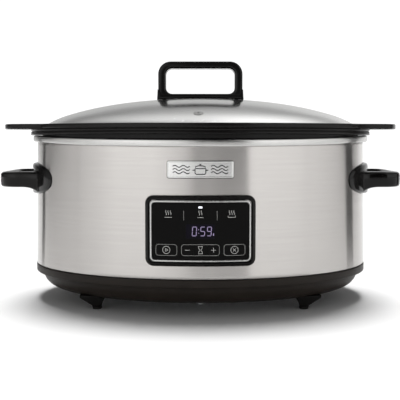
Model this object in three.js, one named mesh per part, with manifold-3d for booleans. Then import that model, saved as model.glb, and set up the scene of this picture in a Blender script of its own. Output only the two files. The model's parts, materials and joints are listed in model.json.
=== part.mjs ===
// Oval slow cooker: a steel-clad heated base with a digital front panel, a lift-out cooking bowl
// with ear handles, and a domed glass lid with a loop handle.
// Millimetres, +Z up, front towards -Y. The origin is on the floor, at the middle of the object.
// Every oval piece is turned as a round profile of (half-width, height) points and then squeezed
// in Y by one common ratio, so nested pieces stay parallel all the way round.

import * as THREE from "three";
import { mergeVertices } from "three/addons/utils/BufferGeometryUtils.js";
import Module from "manifold-3d";

const wasm = await Module();
wasm.setup();

// ---------------------------------------------------------------- driving dimensions

const DEPTH_RATIO = 0.767; // half-depth over half-width of every oval
const OVAL_SIDES = 40;
const ROUND_SIDES = 12;
const ARC_STEPS = 4;
const GAP = 0.3; // clearance between pieces that touch

// base and feet
const FOOT = { x: 107.8, y: 84.5, tipWidth: 9, depth: 14, padHeight: 2.3, rootOut: 17.5, rootIn: 8.5 };
const PAN_BOTTOM_Z = 12;
const PAN_FLOOR = 2.8;
const COLLAR = { bottomZ: 26.4, topZ: 39, halfWidth: 184.4 };
const COVER = { halfWidth: 156.5, bottomZ: 15.1, thickness: 1.5 };

// outer casing and rim ring
const CASING = { bottom: 183.9, top: 181.4, sheet: 1.2, bottomZ: COLLAR.topZ + GAP, topZ: 173 };
const RIM_BOW = { rise: 4, power: 2.5 }; // the rim ring rises towards both ends of the oval
const RIM = { bottomZ: 169.1, topZ: 176.2, halfWidth: 186.3, innerHalfWidth: 177.5, skirt: 182 };

// cooking bowl: tapered wall, shoulder, stepped rim and two flat ears
const BOWL = {
  bottomZ: 60, wall: 3, footHalfWidth: 156, neckHalfWidth: 169, taperBottomZ: 71, neckZ: 178,
  shoulderZ: 180.6, lipZ: 181.6, grooveZ: 187.2, rimZ: 192.2, rimHalfWidth: 188.9,
};
const LEDGE = { z: 189.7, outer: 174, inner: 167.5 };
const EAR = { rootX: 160, rootHalf: 68, kneeX: 196, kneeHalf: 60, tipX: 217.5, bottomZ: 187.4, topZ: 192.1 };

// heating liner and what wraps round it
const LINER = { gap: 3, sheet: 1.2, floorZ: 56, flangeZ: 171.8, flangeHalfWidth: 179.6 };
const HEATER = { bottomZ: 74, topZ: 118, thickness: 2.2 };
const SHIELD = { bottomZ: 60, topZ: 160, offset: 4.2, sheet: 0.8 };

// domed lid
// The dome drops from its apex by bend * r^2 + roll * r^4, for a half-width r.
const DOME = { apexZ: 221.6, bend: 6.6e-4, roll: 9e-9, thickness: 4, halfWidth: 172.3 };
const VENT = { x: -2, y: -114, holeRadius: 4.6 };
const LID_HANDLE = {
  halfWidth: 47, topZ: 262, corner: 14, depth: 20, screwX: 40.6,
  openHalfWidth: 38.5, openBottomZ: 226.2, openTopZ: 254.2, openCorner: 7,
};

// side handles
const SIDE_HANDLE = {
  tipX: 219.5, barX: 208.5, outerHalf: 46, innerHalf: 34, outerCorner: 20, innerCorner: 10,
  bottomZ: 124, topZ: 140.7, flangeHalfLength: 77, flangeHalfHeight: 17, flangeZ: 133,
  flangeHalfWidth: 186.6, screwY: 40,
};

// control panel, its middle height and the layers from the casing outwards
const PANEL = { z: 87.3, halfWidth: 54, halfHeight: 34.7, corner: 8 };
const TRIM = { halfWidth: 49.3, halfHeight: 29.9, corner: 5, width: 1.8 };
const LAYER = { frame: 188.4, trimBack: 186.4, trim: 188.7, fasciaBack: 185.9, fascia: 187.8 };
const KEY = { z: 69.1, height: 11.6, back: 186.2 };
const KEYS = [
  { name: "start", x: -33.1, width: 21.3 },
  { name: "minus", x: -12.7, width: 12.2 },
  { name: "timer", x: 0, width: 12.2 },
  { name: "plus", x: 12.7, width: 12.2 },
  { name: "cancel", x: 33.1, width: 21.3 },
];
const BOARD = { halfWidth: 42, bottomZ: 62, topZ: 111.6, frontY: -136, thickness: 1.6 };
const INDICATOR = { z: 110, width: 4.4, height: 3, spacing: 31.2 };
const BADGE = { z: 147.1, width: 64.4, height: 16.4, corner: 1.5, face: 184.3 };

// ---------------------------------------------------------------- materials

const finish = (color, roughness, metalness) =>
  new THREE.MeshStandardMaterial({ color, roughness, metalness });
const BLACK_COAT = finish(0x171615, 0.42, 0.3);
const BLACK_PLASTIC = finish(0x191715, 0.35, 0);
const BASE_PLASTIC = finish(0x2b2724, 0.55, 0);
const BRUSHED_STEEL = finish(0xc4c2be, 0.32, 1);
const SATIN_STEEL = finish(0xd4d3d0, 0.25, 1);
const BRIGHT_TRIM = finish(0xc9c9c7, 0.18, 1);
const PLAIN_STEEL = finish(0x9fa2a4, 0.4, 1);
const ALUMINIUM = finish(0xb9bbbd, 0.45, 1);
const GLOSS_BLACK = finish(0x0c0b0b, 0.08, 0);
const RUBBER = finish(0x1b1a19, 0.85, 0);
const CIRCUIT_GREEN = finish(0x1f4d33, 0.5, 0);
const COMPONENT = finish(0x24262b, 0.5, 0);
const COPPER_WOUND = finish(0x8a5a34, 0.5, 0.4);
const HEATER_FOIL = finish(0x8d7b57, 0.6, 0.2);
const LAMP = finish(0xf2f3ff, 0.3, 0);
const GLASS = new THREE.MeshStandardMaterial({
  color: 0xe3e6e5, roughness: 0.03, metalness: 0, transparent: true, opacity: 0.35,
});

// ---------------------------------------------------------------- geometry helpers

// A closed geometry becomes a manifold solid once its shared vertices are merged.
function solid(geometry) {
  const bare = geometry.clone();
  bare.deleteAttribute("normal");
  bare.deleteAttribute("uv");
  const merged = mergeVertices(bare, 1e-4);
  const corners = merged.index.array;
  const faces = [];
  for (let i = 0; i < corners.length; i += 3) {
    const [a, b, c] = [corners[i], corners[i + 1], corners[i + 2]];
    if (a !== b && b !== c && c !== a) faces.push(a, b, c);
  }
  const vertProperties = new Float32Array(merged.attributes.position.array);
  return new wasm.Manifold(
    new wasm.Mesh({ numProp: 3, vertProperties, triVerts: new Uint32Array(faces) }),
  );
}

function geometryOf(manifold) {
  const mesh = manifold.getMesh();
  const geometry = new THREE.BufferGeometry();
  const step = mesh.numProp;
  const points = new Float32Array((mesh.vertProperties.length / step) * 3);
  for (let v = 0; v < points.length / 3; v++) {
    for (let k = 0; k < 3; k++) points[3 * v + k] = mesh.vertProperties[v * step + k];
  }
  geometry.setAttribute("position", new THREE.BufferAttribute(points, 3));
  geometry.setIndex(new THREE.BufferAttribute(new Uint32Array(mesh.triVerts), 1));
  geometry.computeVertexNormals();
  return geometry;
}

const cut = (geometry, ...tools) =>
  geometryOf(tools.reduce((left, tool) => left.subtract(solid(tool)), solid(geometry)));
const join = (geometry, ...others) =>
  geometryOf(others.reduce((sum, other) => sum.add(solid(other)), solid(geometry)));
const overlap = (first, second) => geometryOf(solid(first).intersect(solid(second)));

// Turns (half-width, height) points about Z and squeezes the result into the oval.
function oval(profile, sides = OVAL_SIDES) {
  const points = profile.map(([halfWidth, z]) => new THREE.Vector2(halfWidth, z));
  const turned = new THREE.LatheGeometry(points, sides);
  return turned.rotateX(Math.PI / 2).scale(1, DEPTH_RATIO, 1);
}

const ovalRing = (profile) => oval([...profile, profile[0]]);
const ovalDisc = (halfWidth, bottomZ, topZ) =>
  oval([[0, bottomZ], [halfWidth, bottomZ], [halfWidth, topZ], [0, topZ]]);
const ovalShell = (inner, outer, bottomZ, topZ) =>
  ovalRing([[outer, bottomZ], [outer, topZ], [inner, topZ], [inner, bottomZ]]);

// Lifts a geometry along +Z by an amount that grows towards both ends of the oval.
function bowed(geometry, { rise, power }, halfWidth) {
  const spots = geometry.attributes.position;
  for (let i = 0; i < spots.count; i++) {
    const share = Math.abs(spots.getX(i)) / halfWidth;
    spots.setZ(i, spots.getZ(i) + rise * share ** power);
  }
  return geometry;
}

function roundedRectangle(width, height, corner, centreX = 0, centreY = 0) {
  const [w, h] = [width / 2, height / 2];
  const shape = new THREE.Shape();
  const corners = [[w, -h, -0.5], [w, h, 0], [-w, h, 0.5], [-w, -h, 1]];
  for (const [x, y, turn] of corners) {
    const [cx, cy] = [centreX + x - Math.sign(x) * corner, centreY + y - Math.sign(y) * corner];
    shape.absarc(cx, cy, corner, turn * Math.PI, (turn + 0.5) * Math.PI, false);
  }
  return shape;
}

function polygon(points) {
  return new THREE.Shape(points.map(([x, y]) => new THREE.Vector2(x, y)));
}

const extruded = (shape, depth) =>
  new THREE.ExtrudeGeometry(shape, { depth, bevelEnabled: false, curveSegments: ARC_STEPS });
const uprightPrism = (shape, bottomZ, topZ) =>
  extruded(shape, topZ - bottomZ).translate(0, 0, bottomZ);
// The shape's own x and y become X and Z, and it runs from backY towards the front to frontY.
const frontPrism = (shape, frontY, backY) =>
  extruded(shape, backY - frontY).rotateX(Math.PI / 2).translate(0, backY, 0);
// The shape's own x and y become Y and Z, and it runs along +X.
function sidePrism(shape, fromX, toX) {
  const turn = new THREE.Matrix4().set(0, 0, 1, 0, 1, 0, 0, 0, 0, 1, 0, 0, 0, 0, 0, 1);
  return extruded(shape, toX - fromX).applyMatrix4(turn).translate(fromX, 0, 0);
}

const block = (width, depth, height, x, y, z) =>
  new THREE.BoxGeometry(width, depth, height).translate(x, y, z);
// Round bars between two values of one coordinate; the other two say where the axis is.
const barZ = (radius, bottomZ, topZ, x, y, sides = ROUND_SIDES) =>
  new THREE.CylinderGeometry(radius, radius, topZ - bottomZ, sides)
    .rotateX(Math.PI / 2).translate(x, y, (bottomZ + topZ) / 2);
const barY = (radius, fromY, toY, x, z, sides = ROUND_SIDES) =>
  new THREE.CylinderGeometry(radius, radius, toY - fromY, sides)
    .translate(x, (fromY + toY) / 2, z);
const barX = (radius, fromX, toX, y, z, sides = ROUND_SIDES) =>
  new THREE.CylinderGeometry(radius, radius, toX - fromX, sides)
    .rotateZ(-Math.PI / 2).translate((fromX + toX) / 2, y, z);

// A piece of oval shell behind an outline drawn on the front of the cooker.
const FRONT_REACH = { frontY: -160, backY: -100 };
const throughFront = (shape) => frontPrism(shape, FRONT_REACH.frontY, FRONT_REACH.backY);
const frontPatch = (shape, inner, outer, bottomZ, topZ) =>
  overlap(ovalShell(inner, outer, bottomZ, topZ), throughFront(shape));

// Half-width of a surface that clears the tapered casing by a small gap, at a height.
function skinHalfWidth(z) {
  const share = (z - CASING.bottomZ) / (CASING.topZ - CASING.bottomZ);
  return CASING.bottom + share * (CASING.top - CASING.bottom) + 0.5;
}

// A shell between the casing's skin and an upright outer face.
const huggingShell = (outer, bottomZ, topZ) =>
  ovalRing([
    [outer, bottomZ], [outer, topZ], [skinHalfWidth(topZ), topZ], [skinHalfWidth(bottomZ), bottomZ],
  ]);

// ---------------------------------------------------------------- the assembly

const slowCooker = new THREE.Group();

function part(name, geometry, material) {
  const mesh = new THREE.Mesh(geometry, material);
  mesh.name = name;
  slowCooker.add(mesh);
  return mesh;
}

const SIDES = [["left", -1], ["right", 1]];
const ENDS = [["front", -1], ["back", 1]];

// Half-width of the liner's outer face at a height: parallel to the bowl's tapered wall.
function linerHalfWidth(z) {
  const share = (z - BOWL.taperBottomZ) / (BOWL.neckZ - BOWL.taperBottomZ);
  const bowl = BOWL.footHalfWidth + share * (BOWL.neckHalfWidth - BOWL.footHalfWidth);
  return bowl + LINER.gap + LINER.sheet;
}

// A sleeve that follows the liner's taper at a distance from it.
function linerSleeve(bottomZ, topZ, offset, thickness) {
  const [low, high] = [linerHalfWidth(bottomZ) + offset, linerHalfWidth(topZ) + offset];
  const outside = [[low + thickness, bottomZ], [high + thickness, topZ]];
  return ovalRing([...outside, [high, topZ], [low, bottomZ]]);
}

// ---- base tray with its foot wedges, pads, cover and gland

const trayCavity = [
  [158, PAN_BOTTOM_Z + PAN_FLOOR], [165, 16.5], [170.5, 21], [173.5, 29],
];

function footWedge(side, end) {
  const tip = FOOT.tipWidth / 2;
  const outline = polygon([
    [FOOT.x - tip, FOOT.padHeight + GAP], [FOOT.x + tip, FOOT.padHeight + GAP],
    [FOOT.x + FOOT.rootOut, PAN_BOTTOM_Z], [FOOT.x + FOOT.rootOut, PAN_BOTTOM_Z + 5],
    [FOOT.x - FOOT.rootIn, PAN_BOTTOM_Z + 5], [FOOT.x - FOOT.rootIn, PAN_BOTTOM_Z],
  ]);
  const reach = FOOT.depth / 2;
  const wedge = frontPrism(outline, end * FOOT.y - reach, end * FOOT.y + reach);
  return side > 0 ? wedge : wedge.rotateZ(Math.PI).translate(0, 2 * end * FOOT.y, 0);
}

const COVER_SCREWS = [["left", -149, 0], ["right", 149, 0], ["front", 0, -114], ["back", 0, 114]];
const COVER_SCREW = { radius: 1.7, headRadius: 3.5, headBottomZ: 9.6, topZ: 22 };
const TIE = { radius: 3, headRadius: 6, bracketZ: 46, topZ: 52 };
const GLAND = {
  z: 33, radius: 4.4, flangeRadius: 5.8, bore: 3.2, innerY: 132, flangeY: 141.6, outerY: 144.2,
};

function baseTray() {
  const shell = ovalRing([
    [150, PAN_BOTTOM_Z], [160, PAN_BOTTOM_Z + 0.3], [168, 14.6], [174, 19],
    [176.6, COLLAR.bottomZ - 0.5], [183.2, COLLAR.bottomZ],
    [COLLAR.halfWidth, COLLAR.bottomZ + 1], [COLLAR.halfWidth, COLLAR.topZ - 0.5],
    [183.6, COLLAR.topZ], [181.3, COLLAR.topZ], [181.3, COLLAR.topZ + 6], [179.3, COLLAR.topZ + 6],
    [179.3, COLLAR.bottomZ + 4], ...trayCavity.slice().reverse(),
    [142, PAN_BOTTOM_Z + PAN_FLOOR], [142, PAN_BOTTOM_Z],
  ]);
  const cavity = solid(oval([[0, trayCavity[0][1]], ...trayCavity, [0, trayCavity.at(-1)[1]]]));
  let tray = solid(shell);
  for (const [, side] of SIDES) {
    for (const [, end] of ENDS) tray = tray.add(solid(footWedge(side, end)).subtract(cavity));
  }
  for (const [, x, y] of COVER_SCREWS) {
    tray = tray.subtract(solid(barZ(COVER_SCREW.radius + 0.4, 5, 30, x, y)));
  }
  const gland = barY(GLAND.radius + 0.4, 120, 160, 0, GLAND.z);
  return geometryOf(tray.subtract(solid(gland)));
}

part("base_tray", baseTray(), BASE_PLASTIC);
for (const [sideName, side] of SIDES) {
  for (const [endName, end] of ENDS) {
    const corner = FOOT.tipWidth / 2 - 0.2;
    const sole = roundedRectangle(FOOT.tipWidth, FOOT.depth, corner, side * FOOT.x, end * FOOT.y);
    part(`foot_pad_${endName}_${sideName}`, uprightPrism(sole, 0, FOOT.padHeight), RUBBER);
  }
}

const coverTopZ = COVER.bottomZ + COVER.thickness;
const coverHoles = COVER_SCREWS.map(([, x, y]) => barZ(COVER_SCREW.radius + 0.4, 5, 30, x, y));
const coverDisc = ovalDisc(COVER.halfWidth, COVER.bottomZ, coverTopZ);
const tieHole = (bottomZ, topZ) => barZ(TIE.radius + 0.4, bottomZ, topZ, 0, 0);
part("bottom_cover", cut(coverDisc, ...coverHoles, tieHole(5, 30)), PLAIN_STEEL);
for (const [name, x, y] of COVER_SCREWS) {
  const headTopZ = PAN_BOTTOM_Z - GAP;
  const head = barZ(COVER_SCREW.headRadius, COVER_SCREW.headBottomZ, headTopZ, x, y);
  const shank = barZ(COVER_SCREW.radius, headTopZ - 1, COVER_SCREW.topZ, x, y);
  part(`cover_screw_${name}`, join(head, shank), PLAIN_STEEL);
}

// The gland is a flanged bush in the tray's back wall, with the bore that the lead passes through.
const glandBush = join(
  barY(GLAND.radius, GLAND.innerY, GLAND.outerY - 1, 0, GLAND.z),
  barY(GLAND.flangeRadius, GLAND.flangeY, GLAND.outerY, 0, GLAND.z),
);
part("cord_gland", cut(glandBush, barY(GLAND.bore, 120, 160, 0, GLAND.z)), BLACK_PLASTIC);

// ---- casing, rim ring and badge

const CASING_SCREW = { radius: 2, hole: 2.4, headRadius: 3.6, fromX: 167.9, headX: 170.3, toX: 188 };
const sideScrewHoles = SIDES.flatMap(([, side]) =>
  ENDS.map(([, end]) => {
    const [from, to] = side > 0 ? [150, 188.4] : [-188.4, -150];
    return barX(CASING_SCREW.hole, from, to, end * SIDE_HANDLE.screwY, SIDE_HANDLE.flangeZ);
  }),
);

const casingSheet = ovalRing([
  [CASING.bottom, CASING.bottomZ], [CASING.top, CASING.topZ],
  [CASING.top - CASING.sheet, CASING.topZ], [CASING.bottom - CASING.sheet, CASING.bottomZ],
]);
const panelWindow = throughFront(
  roundedRectangle(2 * TRIM.halfWidth - 4, 2 * TRIM.halfHeight - 4, 3, 0, PANEL.z),
);
part("outer_casing", cut(casingSheet, panelWindow, ...sideScrewHoles), BRUSHED_STEEL);

const rimProfile = [
  [RIM.skirt, RIM.bottomZ], [185.6, RIM.bottomZ + 0.2], [RIM.halfWidth, RIM.bottomZ + 1.6],
  [RIM.halfWidth, RIM.topZ - 2.6], [185.4, RIM.topZ - 0.8], [183.4, RIM.topZ],
  [RIM.innerHalfWidth, RIM.topZ], [RIM.innerHalfWidth, CASING.topZ + 0.5], [RIM.skirt, CASING.topZ + 0.5],
];
part("rim_ring", bowed(ovalRing(rimProfile), RIM_BOW, RIM.halfWidth), SATIN_STEEL);

const badgeShape = roundedRectangle(BADGE.width, BADGE.height, BADGE.corner, 0, BADGE.z);
const badgeShell = huggingShell(BADGE.face, BADGE.z - 15, BADGE.z + 15);
part("badge_plate", overlap(badgeShell, throughFront(badgeShape)), BRIGHT_TRIM);

// ---- heating liner, heater, shield and the bracket that ties them to the base

const linerFoot = linerHalfWidth(BOWL.taperBottomZ);
const linerTop = linerHalfWidth(LINER.flangeZ);
const linerProfile = [
  [0, LINER.floorZ], [linerFoot - 16, LINER.floorZ], [linerFoot - 6, LINER.floorZ + 3.6],
  [linerFoot, BOWL.taperBottomZ], [linerTop, LINER.flangeZ], [LINER.flangeHalfWidth, LINER.flangeZ],
  [LINER.flangeHalfWidth, LINER.flangeZ + LINER.sheet],
  [linerTop - LINER.sheet, LINER.flangeZ + LINER.sheet], [linerFoot - LINER.sheet, BOWL.taperBottomZ],
  [linerFoot - 6.9, LINER.floorZ + 4.5], [linerFoot - 16, LINER.floorZ + LINER.sheet],
  [0, LINER.floorZ + LINER.sheet],
];
part("heating_liner", oval(linerProfile), ALUMINIUM);
part("heater_band", linerSleeve(HEATER.bottomZ, HEATER.topZ, 0.4, HEATER.thickness), HEATER_FOIL);
part("heat_shield", linerSleeve(SHIELD.bottomZ, SHIELD.topZ, SHIELD.offset, SHIELD.sheet), PLAIN_STEEL);

const bracketTopZ = LINER.floorZ - GAP;
const bracketHalf = [
  [36, TIE.bracketZ], [62, bracketTopZ - 1.5], [110, bracketTopZ - 1.5], [110, bracketTopZ],
  [61, bracketTopZ], [35, TIE.bracketZ + 1.5],
];
const bracketOutline = [...bracketHalf, ...bracketHalf.slice().reverse().map(([x, z]) => [-x, z])];
const bracketStrip = frontPrism(polygon(bracketOutline), -12, 12);
part("support_bracket", cut(bracketStrip, tieHole(40, 60)), PLAIN_STEEL);
const tieHead = barZ(TIE.headRadius, PAN_BOTTOM_Z, COVER.bottomZ - GAP, 0, 0, 6);
const tieShank = barZ(TIE.radius, PAN_BOTTOM_Z + 1, TIE.topZ, 0, 0);
part("tie_bolt", join(tieHead, tieShank), PLAIN_STEEL);
const nutBottomZ = TIE.bracketZ + 1.5 + GAP;
const nutHex = barZ(5.5, nutBottomZ, nutBottomZ + 3, 0, 0, 6);
part("tie_nut", cut(nutHex, tieHole(40, 60)), PLAIN_STEEL);

// ---- electrics in the base

const POWER_BOARD = { x: 60, y: -48, width: 80, depth: 54, z: 20.8, thickness: 1.6 };
const boardTopZ = POWER_BOARD.z + POWER_BOARD.thickness / 2 + GAP;
const { width: boardWidth, depth: boardDepth } = POWER_BOARD;
const powerBoard = block(
  boardWidth, boardDepth, POWER_BOARD.thickness, POWER_BOARD.x, POWER_BOARD.y, POWER_BOARD.z,
);
part("power_board", powerBoard, CIRCUIT_GREEN);
part("transformer", block(30, 26, 22, 42, -50, boardTopZ + 11), COPPER_WOUND);
part("power_relay", block(20, 16, 16, 82, -45, boardTopZ + 8), COMPONENT);
part("terminal_block", block(26, 16, 14, -34, 92, coverTopZ + GAP + 7), BASE_PLASTIC);
part("temperature_sensor", barZ(4, 49.5, bracketTopZ, 0, 46), PLAIN_STEEL);
part("thermal_fuse", barX(2, -58, -42, 40, 53.4), PLAIN_STEEL);

const LEAD_RADIUS = 2.6;
const leadRoute = new THREE.CatmullRomCurve3([
  new THREE.Vector3(0, GLAND.innerY - 1, GLAND.z),
  new THREE.Vector3(-2, 118, 31),
  new THREE.Vector3(-8, 102, 27),
  new THREE.Vector3(-18.5, 93, 24),
]);
const leadSection = new THREE.Shape().absarc(0, 0, LEAD_RADIUS, 0, 2 * Math.PI, false);
part(
  "inner_lead",
  new THREE.ExtrudeGeometry(leadSection, { extrudePath: leadRoute, steps: 8, curveSegments: 4 }),
  RUBBER,
);

// ---- control panel

// A rounded rectangle about the panel's middle, given by its half sizes.
const panelOutline = (halfWidth, halfHeight, corner) =>
  roundedRectangle(2 * halfWidth, 2 * halfHeight, corner, 0, PANEL.z);
const panelShape = panelOutline(PANEL.halfWidth, PANEL.halfHeight, PANEL.corner);
const trimShape = (inset) =>
  panelOutline(TRIM.halfWidth - inset, TRIM.halfHeight - inset, TRIM.corner - inset * 0.8);
const [panelLow, panelHigh] = [PANEL.z - 45, PANEL.z + 45];

const frameBlank = overlap(huggingShell(LAYER.frame, panelLow, panelHigh), throughFront(panelShape));
part("panel_frame", cut(frameBlank, throughFront(trimShape(-GAP))), BLACK_PLASTIC);
part(
  "trim_ring",
  cut(
    frontPatch(trimShape(0), LAYER.trimBack, LAYER.trim, panelLow, panelHigh),
    throughFront(trimShape(TRIM.width)),
  ),
  BRIGHT_TRIM,
);

const keyShape = (key, grow) =>
  roundedRectangle(key.width + 2 * grow, KEY.height + 2 * grow, 2.6 + grow, key.x, KEY.z);
part(
  "panel_fascia",
  cut(
    frontPatch(trimShape(TRIM.width + GAP), LAYER.fasciaBack, LAYER.fascia, panelLow, panelHigh),
    ...KEYS.map((key) => throughFront(keyShape(key, 0.25))),
  ),
  GLOSS_BLACK,
);
for (const key of KEYS) {
  const cap = frontPatch(keyShape(key, 0), KEY.back, LAYER.fascia, KEY.z - 10, KEY.z + 10);
  part(`key_${key.name}`, cap, GLOSS_BLACK);
}
part(
  "panel_carrier",
  cut(
    frontPatch(trimShape(2.4), 179.8, LAYER.fasciaBack - 0.5, panelLow, panelHigh),
    throughFront(trimShape(4.6)),
  ),
  BASE_PLASTIC,
);

const boardHeight = BOARD.topZ - BOARD.bottomZ;
part(
  "display_board",
  block(
    2 * BOARD.halfWidth, BOARD.thickness, boardHeight,
    0, BOARD.frontY + BOARD.thickness / 2, BOARD.bottomZ + boardHeight / 2,
  ),
  CIRCUIT_GREEN,
);
// A component that stands on the front of the display board.
const onBoard = (width, height, tall, x, z) =>
  block(width, tall, height, x, BOARD.frontY - GAP - tall / 2, z);
part("display_module", onBoard(28, 14, 5, 0, 87), COMPONENT);
["left", "middle", "right"].forEach((place, i) => {
  const x = (i - 1) * INDICATOR.spacing;
  part(`indicator_${place}`, onBoard(INDICATOR.width, INDICATOR.height, 2.4, x, INDICATOR.z - 0.4), LAMP);
});
for (const key of KEYS) part(`key_switch_${key.name}`, onBoard(6, 6, 2.6, key.x, KEY.z), COMPONENT);

// ---- side handles: a flange that hugs the casing and a horizontal loop

function sideHandle(side) {
  const loop = (half, reach, corner) => {
    const shape = roundedRectangle(2 * reach, 2 * half, corner);
    return uprightPrism(shape, SIDE_HANDLE.bottomZ, SIDE_HANDLE.topZ);
  };
  const { flangeZ, flangeHalfLength, flangeHalfHeight } = SIDE_HANDLE;
  const flangeShape = new THREE.Shape().absellipse(
    0, flangeZ, flangeHalfLength, flangeHalfHeight, 0, 2 * Math.PI, false, 0,
  );
  const reach = side > 0 ? [120, 200] : [-200, -120];
  const [low, high] = [flangeZ - 25, flangeZ + 25];
  const flangeShell = huggingShell(SIDE_HANDLE.flangeHalfWidth, low, high);
  const flange = solid(overlap(flangeShell, sidePrism(flangeShape, ...reach)));
  const outer = solid(loop(SIDE_HANDLE.outerHalf, SIDE_HANDLE.tipX, SIDE_HANDLE.outerCorner));
  const fingers = loop(SIDE_HANDLE.innerHalf, SIDE_HANDLE.barX, SIDE_HANDLE.innerCorner);
  const inner = solid(fingers.translate(0, 0, -flangeZ).scale(1, 1, 2).translate(0, 0, flangeZ));
  const body = solid(oval([[0, low], [skinHalfWidth(low), low], [skinHalfWidth(high), high], [0, high]]));
  const half = solid(block(300, 300, 100, -side * 150, 0, flangeZ));
  let handle = outer.subtract(inner).subtract(body).subtract(half).add(flange);
  for (const hole of sideScrewHoles) handle = handle.subtract(solid(hole));
  return geometryOf(handle);
}

for (const [sideName, side] of SIDES) {
  part(`side_handle_${sideName}`, sideHandle(side), BLACK_PLASTIC);
  for (const [endName, end] of ENDS) {
    const y = end * SIDE_HANDLE.screwY;
    const { fromX, headX, toX } = CASING_SCREW;
    const head = barX(CASING_SCREW.headRadius, fromX, headX, y, SIDE_HANDLE.flangeZ);
    const shank = barX(CASING_SCREW.radius, headX - 1, toX, y, SIDE_HANDLE.flangeZ);
    const screw = join(head, shank);
    if (side < 0) screw.rotateZ(Math.PI).translate(0, 2 * y, 0);
    part(`handle_screw_${sideName}_${endName}`, screw, PLAIN_STEEL);
  }
}

// ---- cooking bowl

function cookingBowl() {
  const wall = BOWL.wall;
  const shell = oval([
    [0, BOWL.bottomZ], [BOWL.footHalfWidth - 16, BOWL.bottomZ],
    [BOWL.footHalfWidth - 6, BOWL.bottomZ + 3],
    [BOWL.footHalfWidth, BOWL.taperBottomZ], [BOWL.neckHalfWidth, BOWL.neckZ],
    [BOWL.neckHalfWidth + 2, BOWL.shoulderZ], [BOWL.rimHalfWidth - 2.4, BOWL.lipZ],
    [BOWL.rimHalfWidth, BOWL.lipZ + 2], [BOWL.rimHalfWidth, BOWL.grooveZ - 0.8],
    [BOWL.rimHalfWidth - 0.9, BOWL.grooveZ], [BOWL.rimHalfWidth, BOWL.grooveZ + 0.8],
    [BOWL.rimHalfWidth, BOWL.rimZ - 1.5], [BOWL.rimHalfWidth - 1.5, BOWL.rimZ],
    [LEDGE.outer, BOWL.rimZ], [LEDGE.outer, LEDGE.z], [LEDGE.inner, LEDGE.z],
    [BOWL.neckHalfWidth - wall, BOWL.lipZ], [BOWL.footHalfWidth - wall, BOWL.taperBottomZ],
    [BOWL.footHalfWidth - wall - 4.5, BOWL.bottomZ + 5.6],
    [BOWL.footHalfWidth - 16, BOWL.bottomZ + wall], [0, BOWL.bottomZ + wall],
  ]);
  const opening = solid(ovalDisc(LEDGE.outer + 4, BOWL.lipZ, BOWL.rimZ + 20));
  let bowl = solid(shell);
  for (const [, side] of SIDES) {
    const ear = uprightPrism(earShape(), EAR.bottomZ, EAR.topZ);
    if (side < 0) ear.rotateZ(Math.PI);
    bowl = bowl.add(solid(ear).subtract(opening));
  }
  return geometryOf(bowl);
}

// The right ear in plan: sides that close in slightly, round knees and a gently curved tip.
function earShape() {
  const shape = new THREE.Shape();
  const { rootX, rootHalf, kneeX, kneeHalf, tipX } = EAR;
  shape.moveTo(rootX, -rootHalf);
  shape.lineTo(kneeX, -kneeHalf);
  shape.bezierCurveTo(tipX - 8, -kneeHalf + 3, tipX, -kneeHalf / 2, tipX, 0);
  shape.bezierCurveTo(tipX, kneeHalf / 2, tipX - 8, kneeHalf - 3, kneeX, kneeHalf);
  shape.lineTo(rootX, rootHalf);
  return shape;
}

part("cooking_bowl", cookingBowl(), BLACK_COAT);

// ---- lid: glass dome, loop handle, its screws and gaskets, and the steam vent

// Height of the glass's outer face over a point of the oval with this half-width.
const domeZ = (halfWidth) => DOME.apexZ - DOME.bend * halfWidth ** 2 - DOME.roll * halfWidth ** 4;
const DOME_STEPS = 5;
const domeStations = Array.from({ length: DOME_STEPS + 1 }, (_, i) => (DOME.halfWidth * i) / DOME_STEPS);

function glassDome() {
  const rim = domeStations.at(-1);
  const top = domeStations.slice(0, -1).reverse().map((r) => [r, domeZ(r)]);
  const under = domeStations.slice(0, -1).map((r) => [r, domeZ(r) - DOME.thickness]);
  const edge = [[rim - 1, domeZ(rim) - DOME.thickness], [rim, domeZ(rim) - 3], [rim, domeZ(rim) - 1]];
  const dome = oval([...under, ...edge, ...top]);
  const screwHoles = SIDES.map(([, side]) => barZ(3, 190, 240, side * LID_HANDLE.screwX, 0));
  return cut(dome, ...screwHoles, ventBar(VENT.holeRadius, -30, 30));
}

// Something turned about the vent's axis, which is square to the glass there.
const ventHalfWidth = Math.abs(VENT.y) / DEPTH_RATIO;
const ventSlope = (2 * DOME.bend * ventHalfWidth + 4 * DOME.roll * ventHalfWidth ** 3) / DEPTH_RATIO;
const tiltToVent = (geometry) =>
  geometry.rotateX(Math.atan(ventSlope)).translate(VENT.x, VENT.y, domeZ(ventHalfWidth));
function ventBar(radius, from, to) {
  return tiltToVent(barZ(radius, from, to, 0, 0, 16));
}

part("lid_glass", glassDome(), GLASS);

const grommetProfile = [
  [2.9, -5.2], [4.1, -5.2], [4.1, 0.4], [5.6, 0.4], [5.6, 1.1], [4.8, 1.5], [2.9, 1.5], [2.9, -5.2],
];
const grommetPoints = grommetProfile.map(([r, z]) => new THREE.Vector2(r, z));
part(
  "vent_grommet",
  tiltToVent(new THREE.LatheGeometry(grommetPoints, 16).rotateX(Math.PI / 2)),
  RUBBER,
);

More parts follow.
